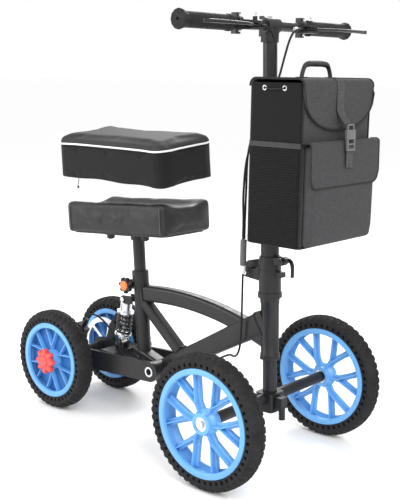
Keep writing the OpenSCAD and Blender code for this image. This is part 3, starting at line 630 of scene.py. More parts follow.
def rim(node, body, rim_r, width, hub_len, closed):
    """Moulded rim: flanged barrel, forked ribs and a stepped hub."""
    hub = centre(node)
    half = width / 2
    lip, wall = mm(14), mm(4)
    inner = rim_r - lip
    side_profile = [(half - mm(0.6), rim_r - mm(0.8)), (half, rim_r - mm(1.8)), (half, rim_r - lip + mm(2.4)),
                    (half - mm(0.8), rim_r - lip + mm(1.2)), (half - mm(2.6), rim_r - lip + mm(0.8)),
                    (half - mm(3), inner), (half - mm(7), inner - mm(0.6)), (mm(5), rim_r - wall - mm(2.5)),
                    (0, rim_r - wall - mm(3))]
    barrel = side_profile + [(-a, r) for a, r in reversed(side_profile[:-1])]
    barrel += [(-half + mm(3), rim_r), (half - mm(3), rim_r)]
    body_shape = Shape()
    body_shape.turned(barrel, hub, steps=120)
    bore = mm(16.1)
    face = hub_len / 2
    hub_side = [(face, bore), (face, mm(23.5)), (face - mm(1), mm(24.5)), (face - mm(9), mm(25)),
                (mm(9), mm(27)), (mm(4), mm(31) if not closed else mm(27))]
    hub_profile = hub_side + [(-a, r) for a, r in reversed(hub_side)]
    body_shape.turned(hub_profile, hub, steps=72)
    fork = inner * 0.42
    first = radians(30) if closed else 0.0
    tall = half - mm(8)
    for start, end, _ in spoke_lines(inner + mm(3), fork, first):
        rib(body_shape, hub, start, end, -tall, tall, mm(3.2))
    body_shape.make(node + "_shell", "rim_blue", body, [node], angle=32)
    webs = Shape()
    if closed:
        disc = [(mm(2.2), mm(20)), (mm(2.2), inner + mm(2)), (-mm(2.2), inner + mm(2)), (-mm(2.2), mm(20))]
        webs.turned(disc, hub, steps=96)
        for start, end, _ in spoke_lines(inner + mm(3), fork, first):
            rib(webs, hub, start, end, -mm(4.5), mm(4.5), mm(6))
    else:
        for start, end, stem in spoke_lines(inner + mm(3), fork, first):
            rib(webs, hub, start, end, -mm(3.6), mm(3.6), mm(16.5) if stem else mm(14.5))
        for k in range(6):
            turn = first + tau * k / 6
            knot = hub + polar(turn, fork)
            webs.rod(knot - Y_AXIS * mm(3.8), knot + Y_AXIS * mm(3.8), mm(9), 32)
    webs.make(node + "_web", "rim_blue", body, angle=32, look=WEB_BLUE if closed else None)


for side in ("left", "right"):
    for end, cells, closed in (("front", 50, False), ("rear", 44, True)):
        wheel = f"{end}_wheel_{side}"
        low, high = box(f"{end}_tyre_{side}")
        rim_low, rim_high = box(f"{end}_rim_{side}")
        rim_r = (rim_high.z - rim_low.z) / 2
        tyre(f"{end}_tyre_{side}", wheel, high.y - low.y, rim_r, (high.z - low.z) / 2, cells)
        hub_len = rim_high.y - rim_low.y
        rim(f"{end}_rim_{side}", wheel, rim_r, high.y - low.y - mm(1), hub_len, closed)


# ---- frame ----
def ring_bead(shape, place, axis, wide, high, radius, size=mm(2.2)):
    """A weld bead around a tube's end: an uneven rope of small ripples."""
    up = axis.cross(Y_AXIS).normalized()
    outline = section(wide, high, radius, 10)
    path = [place + Y_AXIS * a + up * b for a, b in outline + outline[:1]]
    shape.tube(path, lambda t: size * (1 + 0.16 * sin(t * 150)), 8)


def main_frame():
    head_low = along_column(0, 97)
    shape = Shape()
    outer, bore = mm(21), mm(18)
    profile = [(0, bore), (0, outer + mm(1.4)), (mm(9), outer + mm(1.4)), (mm(11), outer), (mm(126), outer),
               (mm(128), outer + mm(1.4)), (mm(137), outer + mm(1.4)), (mm(137), bore)]
    shape.turned(profile, head_low, COLUMN_UP, 56)
    start, end = along_column(-4, 182), PIVOT + mm(0, 0, -4)
    stations = []
    for t in (0, 0.06, 0.15, 0.3, 0.5, 0.7, 0.85, 0.95, 1.0):
        high = mm(56) - mm(8) * min(t * 2, 1)
        stations.append((start.lerp(end, t) + UP * mm(3) * sin(pi * t), mm(40), high, mm(9.5)))
    shape.loft(beam_rings(stations))
    way = (end - start).normalized()
    rear = on_post(0, 0, 180)
    front = along_column(-2, 134)
    chord = front - rear
    lift = chord.cross(Y_AXIS).normalized()
    lift = lift if lift.z > 0 else -lift
    arch = []
    for k in range(25):
        t = k / 24
        bow = mm(27) * (1 - (2 * t - 1) ** 2)
        arch.append((rear + chord * t + lift * bow, mm(34) - mm(3) * (1 - t), mm(42) - mm(3) * t, mm(9)))
    shape.loft(beam_rings(arch))
    foot = end - way * mm(83)
    strut_top = on_post(0, 0, 170)
    shape.loft(beam_rings([(strut_top.lerp(foot, t), mm(30), mm(28), mm(8)) for t in (0, 0.3, 0.7, 1)]))
    seat_outer, seat_bore = mm(18.5), mm(15.6)
    shape.turned([(0, seat_bore), (0, seat_outer), (mm(224), seat_outer), (mm(224), seat_bore)],
                 on_post(0, 0, 12), POST_UP, 48)
    lug = mm(51)
    shape.turned([(-lug, mm(13.1)), (-lug, mm(21.5)), (-lug + mm(1.5), mm(23)), (lug - mm(1.5), mm(23)),
                  (lug, mm(21.5)), (lug, mm(13.1))], PIVOT, Y_AXIS, 56)
    bridge = [(POST_FOOT + mm(-24, 0, 30)).lerp(PIVOT + mm(-6, 0, 2), t) for t in (0, 0.5, 1)]
    shape.loft(beam_rings([(p, mm(38), mm(22), mm(7)) for p in bridge]))
    top = centre("shock_top_bolt")
    for side in (-1, 1):
        ear = []
        for y in (side * mm(10.5), side * mm(15.5)):
            outline = []
            for k in range(25):
                turn = radians(90 + 180 * k / 24)
                outline.append(top + polar(turn, mm(10)) + Y_AXIS * y)
            outline += [top + Vector((mm(32), y, -mm(8))), top + Vector((mm(32), y, mm(12)))]
            ear.append(outline)
        shape.loft(ear)
    ring_bead(shape, start + way * mm(20), way, mm(41), mm(57), mm(10))
    arch_way = (arch[1][0] - arch[0][0]).normalized()
    ring_bead(shape, arch[0][0] + arch_way * mm(18), arch_way, mm(33), mm(43), mm(9))
    strut_way = (foot - strut_top).normalized()
    ring_bead(shape, foot - strut_way * mm(27), strut_way, mm(31), mm(29), mm(8))
    shape.make("frame_weldment", "frame_paint", "frame", ["main_frame"], angle=35)


main_frame()


def fold_catch():
    """Cam lever drawn with its round cam and a tapering thumb blade."""
    shape = Shape()
    hub = along_column(37, 325.5)
    shape.rod(hub - Y_AXIS * mm(15), hub + Y_AXIS * mm(15), mm(3), 20)
    shape.turned(pairs((-7.5, 2.5), (-7.5, 9), (-6.5, 10), (6.5, 10), (7.5, 9), (7.5, 2.5)), hub, Y_AXIS, 40)
    blade = smooth([hub + mm(4, 0, 4), hub + mm(18, 0, 4), hub + mm(26, 0, -8), hub + mm(27, 0, -34)], 6)
    shape.loft(tube_rings(blade, lambda t: mm(7.2 - 1.6 * t), 16, 0.55, Y_AXIS))
    shape.make("fold_catch", "black_metal", "fold_lever", ["fold_lever"])


fold_catch()


# ---- handlebar, grips, levers ----
def grips():
    """Moulded grips: six soft flats, fine rings and a flared end with a small hole."""
    inner = mm(140)
    for side in (-1, 1):
        axis = Y_AXIS * side
        shape = Shape()

        def flats(turn, a, r):
            if a < mm(14) or r < mm(12):
                return r
            return r * (1 - 0.035 * cos(6 * turn) ** 2) - (mm(0.35) if int(a / mm(2.6)) % 2 else 0)

        profile = pairs((0, 11.2), (0, 17), (1, 18), (8, 18), (9.5, 16.6))
        profile += [(mm(10 + 2.6 * k), mm(16.6)) for k in range(1, 50)]
        profile += pairs((146, 17.2), (152, 20.2), (157, 21), (159, 20), (160, 18), (160, 3.2), (150, 3.0),
                         (150, 11.2))
        shape.turned(profile, Vector((BAR.x, side * inner, BAR.z)), axis, 48, flats)
        name = "left" if side > 0 else "right"
        made = shape.make(f"grip_{name}", "grip_rubber", "stem", angle=30)
        if side > 0:
            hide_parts("grips")


grips()


def brake_lever(side, node):
    """Forged lever blade: crowned section, a round tip and its pivot boss."""
    perch = Vector((BAR.x + mm(36), side * mm(92), BAR.z - mm(4)))
    far = mm(285)
    curve = smooth([perch + mm(-2, -4 * side, 0), perch + mm(4, 20 * side, 0), perch + mm(22, 50 * side, 0),
                    perch + mm(32, 80 * side, 0), Vector((perch.x + mm(32), side * (far - mm(40)), perch.z)),
                    Vector((perch.x + mm(26), side * far, perch.z))], 10)
    shape = Shape()

    def thick(t):
        return mm(6.6 - 1.6 * sin(pi * min(t * 1.25, 1)))

    shape.loft(tube_rings(curve, thick, 20, 0.62, X_AXIS))
    shape.turned(pairs((-4, 2), (-4, 6.2), (-3, 7.2), (3, 7.2), (4, 6.2), (4, 2)),
                 Vector((perch.x + mm(26), side * far, perch.z)), UP, 28)
    shape.rod(perch - UP * mm(9), perch + UP * mm(9), mm(2.4), 20)
    shape.make(node + "_blade", "black_metal", node, [node])


brake_lever(1, "brake_lever_left")
brake_lever(-1, "brake_lever_right")


def lever_trim():
    """Bright clamp screws, adjuster barrels and thumb screws on the two lever brackets."""
    for side, name in ((1, "left"), (-1, "right")):
        shape = Shape()
        spot = Vector((BAR.x, side * mm(115.5), BAR.z))
        for up in (-1, 1):
            shape.rod(spot + mm(3, 0, up * 16), spot + mm(9, 0, up * 16), mm(3.4), 6, 0.0006)
        thumb = Vector((BAR.x + mm(36), side * mm(100), BAR.z + mm(13)))
        shape.rod(thumb, thumb + mm(0, 0, 7), mm(2.4), 18)
        shape.block(thumb + mm(-1.6, -6, 5), thumb + mm(1.6, 6, 11), 0.001)
        shape.make(f"lever_screws_{name}", "steel", "stem", look=BRIGHT)
        barrel = Shape()
        start = Vector((BAR.x + mm(17), side * mm(79), BAR.z - mm(4)))
        barrel.turned(pairs((0, 1.5), (0, 4), (1, 4.6), (7, 4.6), (8, 3.6), (12, 3.4), (12, 1.5)),
                      start, -Y_AXIS * side, 32,
                      lambda turn, a, r: r * (1 + 0.05 * cos(12 * turn)))
        barrel.make(f"cable_adjuster_{name}", "steel", "stem", look=FERRULE)


lever_trim()

# ---- cables: the same routes as in the CAD model, x measured from the front axle ----
RIGHT_ROUTE = [(5, -78, 994), (5, -62, 993), (7, -44, 980), (8, -31, 950), (4, -28, 900), (-10, -29, 850),
               (-34, -35, 790), (-56, -34, 720), (-64, -28, 640), (-66, -27, 570), (-66, -27, 522)]
LEFT_ROUTE = [(5, 78, 994), (5, 60, 993), (8, 34, 984), (12, 12, 962), (12, -4, 925), (8, -14, 888),
              (-4, -26, 835), (-26, -40, 780), (-50, -45, 710), (-62, -40, 630), (-66, -33, 570), (-66, -33, 522)]
UPPER_TRUNK = [(-66, -30, 441), (-66, -30, 425), (-66, -30, 400), (-66, -30, 385)]
LOWER_TRUNK = [(-66, -30, 385), (-66, -30, 360), (-66, -30, 335), (-67, -30, 290), (-71, -29, 262),
               (-80, -26, 244), (-98, -16, 233), (-125, -8, 228), (-200, -8, 185), (-270, -8, 145),
               (-318, -8, 120), (-345, -8, 114)]
BRANCH = [(-345, 12, 114), (-380, 13, 114), (-410, 16, 120), (-436, 30, 138), (-449, 42, 165),
          (-462, 46, 198), (-485, 50, 228), (-508, 55, 250), (-530, 61, 262), (-546, 66, 262), (-554, 67, 253)]
CABLE_R = mm(2.5)


def cable(name, route, blend, replaces=(), flip=1):
    path = smooth([Vector((FRONT.x + mm(x), flip * mm(y), mm(z))) for x, y, z in route], 6)
    shape = Shape()
    shape.tube(path, CABLE_R, 12)
    shape.make(name, "cable_rubber", None, replaces, blend, 60)


def from_axle(x, y, z):
    return FRONT.x + mm(x), mm(y), mm(z)


stem_blend = ("column", "stem", from_axle(-66, -30, 521), from_axle(0, 0, 975))
cable("brake_hose_right", RIGHT_ROUTE, stem_blend, ["lever_cables"])
cable("brake_hose_left", LEFT_ROUTE, stem_blend)
fold_blend = ("steering", "column", from_axle(-66, 0, 390), from_axle(-66, 0, 441))
cable("brake_hose_upper", UPPER_TRUNK, fold_blend)
steer_blend = ("frame", "steering", from_axle(-66, 0, 320), from_axle(-66, 0, 380))
cable("brake_hose_trunk", LOWER_TRUNK, steer_blend, ["brake_cable_lower"])
arm_blend = ("frame", "rear_arm", from_axle(-400, 0, 120), from_axle(-470, 0, 205))
cable("brake_hose_branch_left", BRANCH, arm_blend)
cable("brake_hose_branch_right", BRANCH, arm_blend, flip=-1)


def splitter():
    """Sleeve that joins the two lever cables, its ferrule, and the block where the cable divides again."""
    top = Vector(from_axle(-66, -30, 521))
    shape = Shape()
    shape.turned(pairs((0, 1), (0, 6), (1.5, 7.5), (59, 7.5), (61, 6.2), (61, 1)),
                 top - UP * mm(61), UP, 40)
    shape.make("splitter_sleeve", "cable_rubber", "column", ["cable_splitter"],
               look=plastic("splitter_grey", (0.10, 0.10, 0.105), 0.5))
    ferrule = Shape()
    ferrule.turned(pairs((0, 2), (0, 4.6), (2, 5.8), (19, 6), (19, 2)),
                   top - UP * mm(80), UP, 36)
    ferrule.make("splitter_ferrule", "cable_rubber", "column", look=FERRULE)
    junction = Shape()
    spot = Vector(from_axle(-345, 0, 114))
    junction.block(spot - mm(7, 17, 4.5), spot + mm(7, 17, 4.5), 0.0025)
    junction.make("cable_junction", "cable_rubber", "frame", look=LOOK["black_plastic"])


splitter()


# ---- shock absorber ----
def shock():
    """The coil, which rides on the shock's upper body, and the bright rings that hold its upper end."""
    top, low = centre("shock_top_bolt"), centre("shock_bottom_bolt")
    way = (low - top).normalized()
    side = way.cross(Y_AXIS).normalized()
    path = []
    turns, coil_r, wire = 5.5, mm(19), mm(2.8)
    first, last = mm(40) + wire, mm(96.5) - wire
    steps = int(turns * 24)
    for k in range(steps + 1):
        turn = tau * turns * k / steps
        flat = share((k / steps - 0.09) / 0.82)
        path.append(top + way * (first + (last - first) * flat)
                    + around(side, Y_AXIS, turn) * coil_r)
    shape = Shape()
    shape.tube(path, wire, 12)
    made = shape.make("shock_coil", "black_metal", "shock_upper", ["shock_spring"], angle=60)
    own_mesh(made)
    ring = Shape()
    for k in range(3):
        at = top + way * mm(16 + 6 * k)
        ring.turned(pairs((-1.8, 13), (-1.2, 15.2), (1.2, 15.2), (1.8, 13)), at, way, 40)
    ring.make("shock_preload_ring", "steel", "shock_upper", look=BRIGHT)


shock()


def rotor(side, name):
    """A thin brake ring on six arms, and the boss that carries it on the wheel's hub."""
    low, high = box(f"brake_disc_{name}")
    ring_r = (high.z - low.z) / 2
    outer_face = low.y if side > 0 else high.y
    middle = Vector((REAR.x, outer_face + side * mm(2), REAR.z))
    shape = Shape()
    half, ring_in = mm(0.9), ring_r - mm(14)
    shape.turned([(-half, ring_in), (-half, ring_r), (half, ring_r), (half, ring_in)], middle, Y_AXIS, 96)
    boss, bore, boss_r = high.y - low.y - mm(1), mm(12.2), mm(22)
    shape.turned([(0, bore), (0, boss_r), (boss, boss_r), (boss, bore)], middle, Y_AXIS * side, 48)
    for k in range(6):
        turn = tau * k / 6
        end = polar(turn + radians(16), ring_r - mm(13))
        rib(shape, middle, polar(turn, mm(20)), end, -half, half, mm(8))
    shape.make(f"brake_rotor_{name}", "steel", f"rear_wheel_{name}", [f"brake_disc_{name}"])


rotor(1, "left")
rotor(-1, "right")


# ---- knobs ----
def star_knob(name, place, axis, radius, deep, lobes, slot, node, cap=None):
    """Lobed hand knob with a domed face; place is its inner face."""
    shape = Shape()

    def lobed(turn, a, r):
        if r < radius * 0.5:
            return r
        return r * (0.86 + 0.14 * tanh(2.6 * cos(lobes * turn)))

    profile = [(0, mm(6.1)), (0, radius * 0.9), (deep * 0.1, radius * 0.97), (deep * 0.5, radius),
               (deep * 0.85, radius * 0.96), (deep, radius * 0.86), (deep, radius * 0.56),
               (deep * 1.2, radius * 0.5), (deep * 1.24, radius * 0.2), (deep * 1.24, mm(0.4)), (0.004, mm(0.4)),
               (0.004, mm(6.1))]
    shape.turned(profile, place, axis, lobes * 12, lobed)
    shape.make(name, slot, node, [node], angle=40)
    if cap:
        button = Shape()
        button.turned([(deep * 1.0, mm(0.3)), (deep * 1.0, radius * 0.56), (deep * 1.22, radius * 0.54),
                       (deep * 1.34, radius * 0.42), (deep * 1.36, mm(0.3))], place, axis, 40)
        button.make(name + "_cap", slot, node, look=cap)


for side, name in ((1, "left"), (-1, "right")):
    low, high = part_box(f"drag_knob_{name}")
    face = low[1] if side > 0 else high[1]
    star_knob(f"drag_star_{name}", Vector((REAR.x, face, REAR.z)), Y_AXIS * side, mm(34), mm(15), 8,
              "knob_red", f"drag_knob_{name}")
knob_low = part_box("seat_knob")[0]
knob_spot = on_post(-26.5, 0, 203)
star_knob("seat_star", Vector((knob_spot.x, knob_low[1] + mm(15.5), knob_spot.z)), -Y_AXIS, mm(22), mm(12), 7,
          "black_plastic", "seat_knob", ORANGE)


# ---- knee pad and its cover ----
PAD_LOW = mm(341)
PAD_HALF = (mm(178), mm(88))
PAD_TALL = mm(82)
SOFT_VOXEL = 0.0055


def inflated(points, faces, voxel, pressure, cap, frames=20):
    """Points and faces after a closed form has been blown up a little as cloth."""
    made = placed("soft", new_mesh("soft", points, faces))
    remesh = made.modifiers.new("even", "REMESH")
    remesh.mode = "VOXEL"
    remesh.voxel_size = voxel
    apply_modifiers(made)
    rest = [v.co.copy() for v in made.data.vertices]
    cloth = made.modifiers.new("swell", "CLOTH")
    cloth.settings.quality = 5
    cloth.settings.mass = 0.3
    cloth.settings.tension_stiffness = 12
    cloth.settings.compression_stiffness = 12
    cloth.settings.bending_stiffness = 0.6
    cloth.settings.use_pressure = True
    cloth.settings.uniform_pressure_force = pressure
    cloth.settings.effector_weights.gravity = 0
    cloth.collision_settings.use_collision = False
    scene = bpy.context.scene
    for step in range(1, frames + 1):
        scene.frame_set(step)
    graph = bpy.context.evaluated_depsgraph_get()
    swollen = [v.co.copy() for v in made.evaluated_get(graph).to_mesh().vertices]
    made.modifiers.clear()
    scene.frame_set(1)
    for vertex, start, end in zip(made.data.vertices, rest, swollen):
        move = end - start
        vertex.co = start + move * min(1, cap / max(move.length, 1e-9))
    result = [v.co.copy() for v in made.data.vertices]
    shape = [tuple(p.vertices) for p in made.data.polygons]
    bpy.data.objects.remove(made)
    return result, shape


def knee_pad():
    """Moulded pad: a trough between two side bolsters."""
    low = Vector((-PAD_HALF[0] + mm(1), -PAD_HALF[1] + mm(1), PAD_LOW + mm(2)))
    high = Vector((PAD_HALF[0] - mm(1), PAD_HALF[1] - mm(1), PAD_LOW + PAD_TALL - mm(2)))
    points, faces = rounded_box(low, high, mm(9), 24)
    points, faces = inflated(points, faces, SOFT_VOXEL, 3.0, mm(3))
    shaped = []
    for p in points:
        up = share((p.z - PAD_LOW - mm(30)) / mm(44))
        across = p.y / PAD_HALF[1]
        trough = exp(-(across / 0.62) ** 4)
        dip = mm(17) * trough * up * up
        lip = 1 - 0.5 * share((abs(p.x) - mm(120)) / mm(47)) ** 2
        top = min(p.z, PAD_LOW + PAD_TALL)
        shaped.append(POST @ Vector((p.x, p.y, max(top - dip * lip, PAD_LOW + mm(1)))))
    made = piece("knee_pad_skin", shaped, faces, "pad_vinyl", "seat", ["seat_pad"], angle=180)
    made.modifiers.new("fine", "SUBSURF").levels = 1


knee_pad()


def pad_trim():
    """Sewn seams down the four corners of the pad."""
    seams = Shape()
    for side in (-1, 1):
        for x in (-PAD_HALF[0] + mm(19), PAD_HALF[0] - mm(15)):
            path = [POST @ Vector((x, side * (PAD_HALF[1] + mm(0.6)), PAD_LOW + mm(6) + mm(62) * k / 12))
                    for k in range(13)]
            seams.tube(path, mm(1.1), 8)
    seams.make("pad_seams", "pad_vinyl", "seat", angle=60, look=THREAD)


pad_trim()
COVER_LOW = mm(341 + 128)
COVER_TALL = mm(102)
COVER_HALF = (mm(184.5), mm(94.5))


def leaned(p):
    """A point of the cover as it is held up: almost level, its left side a little higher."""
    z = p.z + mm(12.75) - mm(14.25) * p.x / PAD_HALF[0] + mm(8.75) * p.y / COVER_HALF[1]
    return POST @ Vector((p.x, p.y, z))


def cover_sag(p):
    """Height of the cover's piping above its own line, a gentle droop between the corners."""
    along = mm(2.2) * sin(p.x * 26) * (abs(p.y) / COVER_HALF[1])
    return along + mm(3) * sin(p.y * 17 + 0.6) * abs(p.x) / COVER_HALF[0]


def pad_cover():
    """The lifted cover, open below. Gives back its upright mesh and the height of its seam."""
    low = Vector((-COVER_HALF[0], -COVER_HALF[1], COVER_LOW - mm(16)))
    high = Vector((COVER_HALF[0], COVER_HALF[1], COVER_LOW + COVER_TALL + mm(3)))
    points, faces = rounded_box(low, high, mm(14), 26)
    points, faces = inflated(points, faces, SOFT_VOXEL, 4.0, mm(6))
    data = new_mesh("cover", points, faces)
    work = bmesh.new()
    work.from_mesh(data)
    hem = COVER_LOW + mm(2)
    bmesh.ops.bisect_plane(work, geom=work.verts[:] + work.edges[:] + work.faces[:], plane_co=(0, 0, hem),
                           plane_no=(0, 0, -1), clear_outer=True)
    for v in work.verts:
        down = share((hem + mm(40) - v.co.z) / mm(40))
        fold = (noise.noise(Vector((v.co.x * 17, v.co.y * 17, 3.1))) + 0.5) * mm(4) * down
        away = Vector((v.co.x / COVER_HALF[0], v.co.y / COVER_HALF[1], 0))
        away = away.normalized() if away.length > 0 else away
        v.co += away * fold * 0.6
        v.co.z += down * mm(4.5) * noise.noise(Vector((v.co.x * 11, v.co.y * 11, 8.2)))
        v.co.z += 0 if down else cover_sag(v.co) * 0.4
        v.co.x = max(-COVER_HALF[0] - mm(2), min(COVER_HALF[0] + mm(2), v.co.x))
        v.co.y = max(-COVER_HALF[1] - mm(2), min(COVER_HALF[1] + mm(2), v.co.y))
    work.to_mesh(data)
    work.free()
    seam = COVER_LOW + COVER_TALL - mm(14)
    shell = [leaned(v.co) for v in data.vertices]
    polygons = [tuple(f.vertices) for f in data.polygons]
    made = piece("knee_pad_cover", shell, polygons, "cover_fabric", "pad_cover",
                 ["pad_cover"], angle=180)
    # Faces above the seam take the paler top cloth, a painted highlight for the light falling on the cover's top.
    made.data.materials.append(PAINTED_LIGHT_COVER_TOP)
    for face, source in zip(made.data.polygons, data.polygons):
        painted_highlight_face = sum(data.vertices[i].co.z for i in source.vertices) / len(source.vertices) > seam
        face.material_index = 1 if painted_highlight_face else 0
    thickened(made, mm(2.4))
    made.modifiers.new("fine", "SUBSURF").levels = 1
    return data, seam


def cover_trim(data, seam):
    """White piping on the cover's own wall, and the end of its drawstring."""
    piping = Shape()
    outline = []
    for k in range(97):
        turn = tau * k / 96
        c, s = cos(turn), sin(turn)
        power = 0.24
        x = COVER_HALF[0] * copysign(abs(c) ** power, c)
        y = COVER_HALF[1] * copysign(abs(s) ** power, s)
        outline.append((x, y))
    best = []
    for x, y in outline:
        way = Vector((x, y, 0)).normalized()
        near = [v.co for v in data.vertices if abs(v.co.z - seam) < mm(6)
                and Vector((v.co.x, v.co.y, 0)).normalized().dot(way) > 0.9985]
        reach = max((Vector((p.x, p.y, 0)).length for p in near), default=Vector((x, y, 0)).length)
        best.append(way * reach + UP * seam)
    steady = []
    for i, p in enumerate(best[:-1]):
        around = [best[(i + k) % 96] for k in (-1, 0, 1)]
        steady.append(leaned(sum(around, Vector()) / 3))
    piping.tube(steady + steady[:1], mm(2.3), 10)
    piping.make("cover_piping", "cover_fabric", "pad_cover", angle=60, look=PIPING)
    pull = Shape()
    start = leaned(Vector((-mm(110), -COVER_HALF[1] + mm(1), COVER_LOW + mm(4))))
    hang = [start, start + mm(1, -1, -9), start + mm(-1.5, -1, -18), start + mm(-1, -1, -24)]
    pull.tube(smooth(hang, 5), mm(0.8), 8)
    pull.turned(pairs((0, 0.6), (0, 2.6), (5, 2.2), (5, 0.6)), start + mm(-1, -1, -27), UP, 16)
    pull.make("cover_drawstring", "cover_fabric", "pad_cover", look=BINDING)


cover_trim(*pad_cover())


# ---- bag ----
BAG_HALF = (BAG_HIGH.y - BAG_LOW.y) / 2
BAG_DEEP = BAG_HIGH.x - BAG_LOW.x
BAND_LOW, BAND_HIGH = BAG_LOW.z + mm(208), BAG_LOW.z + mm(219)


def bag_puff(p):
    """How far a bag panel bulges at a point: most in its middle, a little uneven."""
    up = sin(pi * share((p.z - BAG_LOW.z) / (BAG_HIGH.z - BAG_LOW.z)))
    return up * (1 + 0.25 * noise.noise(p * 14))


def bag_shell():
    low = BAG_LOW + mm(1, 1, 1)
    high = BAG_HIGH - mm(1, 1, 7)
    points, faces = rounded_box(low, high, mm(7), 22)
    middle = (low + high) / 2
    for p in points:
        across = p - middle
        puff = bag_puff(p)
        if abs(across.y) > BAG_HALF - mm(3):
            p.y += copysign(mm(1.6), across.y) * puff * cos(across.x / BAG_DEEP * pi)
        if abs(across.x) > BAG_DEEP / 2 - mm(3):
            p.x += copysign(mm(2.0), across.x) * puff * cos(across.y / BAG_HALF * pi / 2)
    open_top = [f for f in faces if sum(points[i].z for i in f) / len(f) < high.z - mm(1)]
    made = piece("bag_shell", points, open_top, "bag_fabric", "column", ["bag_body"], angle=180)
    thickened(made, mm(3))


bag_shell()


def side_sheet(name, side, outline, look, out, ripple=None):
    """A sewn side panel: outline holds (x from the bag's back, z) and out its height off the bag."""
    steps_x, steps_z = 26, ripple or 30
    x0, x1, z0, z1, corner = outline
    rows = []
    for i in range(steps_z + 1):
        z = z0 + (z1 - z0) * i / steps_z
        near_top = max(z - (z1 - corner), 0)
        inset = corner - sqrt(max(corner ** 2 - near_top ** 2, 0))
        row = []
        for j in range(steps_x + 1):
            x = x0 + inset + (x1 - x0 - 2 * inset) * j / steps_x
            p = Vector((BAG_LOW.x + x, side * BAG_HALF, z))
            lift = out + mm(1.6) * bag_puff(p) * sin(pi * x / BAG_DEEP)
            if ripple:
                lift += mm(0.75) * (1 if i % 4 < 2 else -1)
            row.append(p + Y_AXIS * side * lift)
        rows.append(row)
    shape = Shape()
    shape.grid(rows)
    made = shape.make(name, "bag_fabric", "column", angle=60, look=look)
    thickened(made, mm(1.6), 0)


def loose_edge(rows):
    """The edge of a sheet of rows, all but the one it hangs from."""
    return rows[0][:] + [row[-1] for row in rows[1:]] + rows[-1][-2::-1]


def border(name, path, radius, slot, body, blend=None):
    """Bound edge or cord along a path."""
    shape = Shape()
    shape.tube(path, radius, 10)
    shape.make(name, slot, body, (), blend, 60, BINDING)


def bag_sides():
    for side, name in ((-1, "right"), (1, "left")):
        upper = (mm(3), BAG_DEEP - mm(3), BAND_HIGH - mm(2), BAG_HIGH.z - mm(5), mm(14))
        side_sheet(f"bag_side_{name}", side, upper, BAG_BLACK, mm(0.6))
        lower = (mm(2), BAG_DEEP - mm(4), BAG_LOW.z + mm(3), BAND_LOW + mm(1), mm(0.1))
        side_sheet(f"bag_mesh_{name}", side, lower, BAG_MESH, mm(1.4), 152)
        band = (mm(1), BAG_DEEP - mm(2), BAND_LOW, BAND_HIGH, mm(0.1))
        side_sheet(f"bag_band_{name}", side, band, LOOK["bag_fabric"], mm(2.2))
        eyelets = Shape()
        for x in (mm(37), mm(88)):
            spot = Vector((BAG_LOW.x + x, side * (BAG_HALF + mm(1.6)), BAG_HIGH.z - mm(16)))
            eyelets.turned(pairs((0, 2.6), (1.2, 3.0), (1.8, 4.0), (1.2, 5.4), (0, 5.9)),
                           spot, Y_AXIS * side, 32)
        eyelets.make(f"bag_eyelets_{name}", "bag_fabric", "column", look=BRIGHT)
        line = []
        for k in range(15):
            t = k / 14
            line.append(Vector((BAG_LOW.x + mm(37) + mm(51) * t,
                                side * (BAG_HALF + mm(2.6) + mm(1.4) * sin(pi * t)),
                                BAG_HIGH.z - mm(16) - mm(2.4) * sin(pi * t))))
        border(f"bag_side_cord_{name}", line, mm(1.5), "webbing", "column")


bag_sides()


def bag_lid():
    """One sheet from the top rear edge over the top and down the front to a half ellipse."""
    half = BAG_HALF + mm(4)
    top = LID_HIGH.z - mm(0.5)
    back = BAG_LOW.x + mm(0.5)
    front = LID_HIGH.x - mm(1)
    bend = mm(15)
    drop_side, drop_middle = mm(31), mm(105)
    columns = 48
    rows = []
    for j in range(columns + 1):
        y = -half + 2 * half * j / columns
        level = abs(y) / half
        drop = drop_side + (drop_middle - drop_side) * sqrt(max(1 - level ** 2.3, 0))
        path = [Vector((back, y, top - bend - mm(2))), Vector((back, y, top - bend))]
        path += [Vector((back + bend - bend * c, y, top - bend + bend * s)) for s, c in quarter(8, 1, 8)]
        for k in range(1, 16):
            t = k / 16
            sag = mm(1.5) * sin(pi * t) * cos(level * pi / 2)
            path.append(Vector((back + bend + (front - back - 2 * bend) * t, y, top - sag)))
        path += [Vector((front - bend + bend * s, y, top - bend + bend * c)) for s, c in quarter(8, 0, 8)]
        for k in range(1, 19):
            t = k / 18
            flare = mm(2.2) * t * t * (0.4 + 0.6 * level)
            path.append(Vector((front + flare - mm(1.5) * sin(pi * t), y,
                                top - bend - (drop - bend) * t)))
        rows.append(path)
    shape = Shape()
    shape.grid(rows)
    hinge = ("column", "bag_flap", (back, 0, top - bend), (back + mm(30), 0, top))
    made = shape.make("bag_lid_sheet", "bag_fabric", None, ["bag_flap"], hinge, 180)
    thickened(made, mm(2.6))
    border("bag_lid_binding", loose_edge(rows), mm(2.0), "bag_fabric", None, hinge)
    return top, front


lid_top, lid_front = bag_lid()


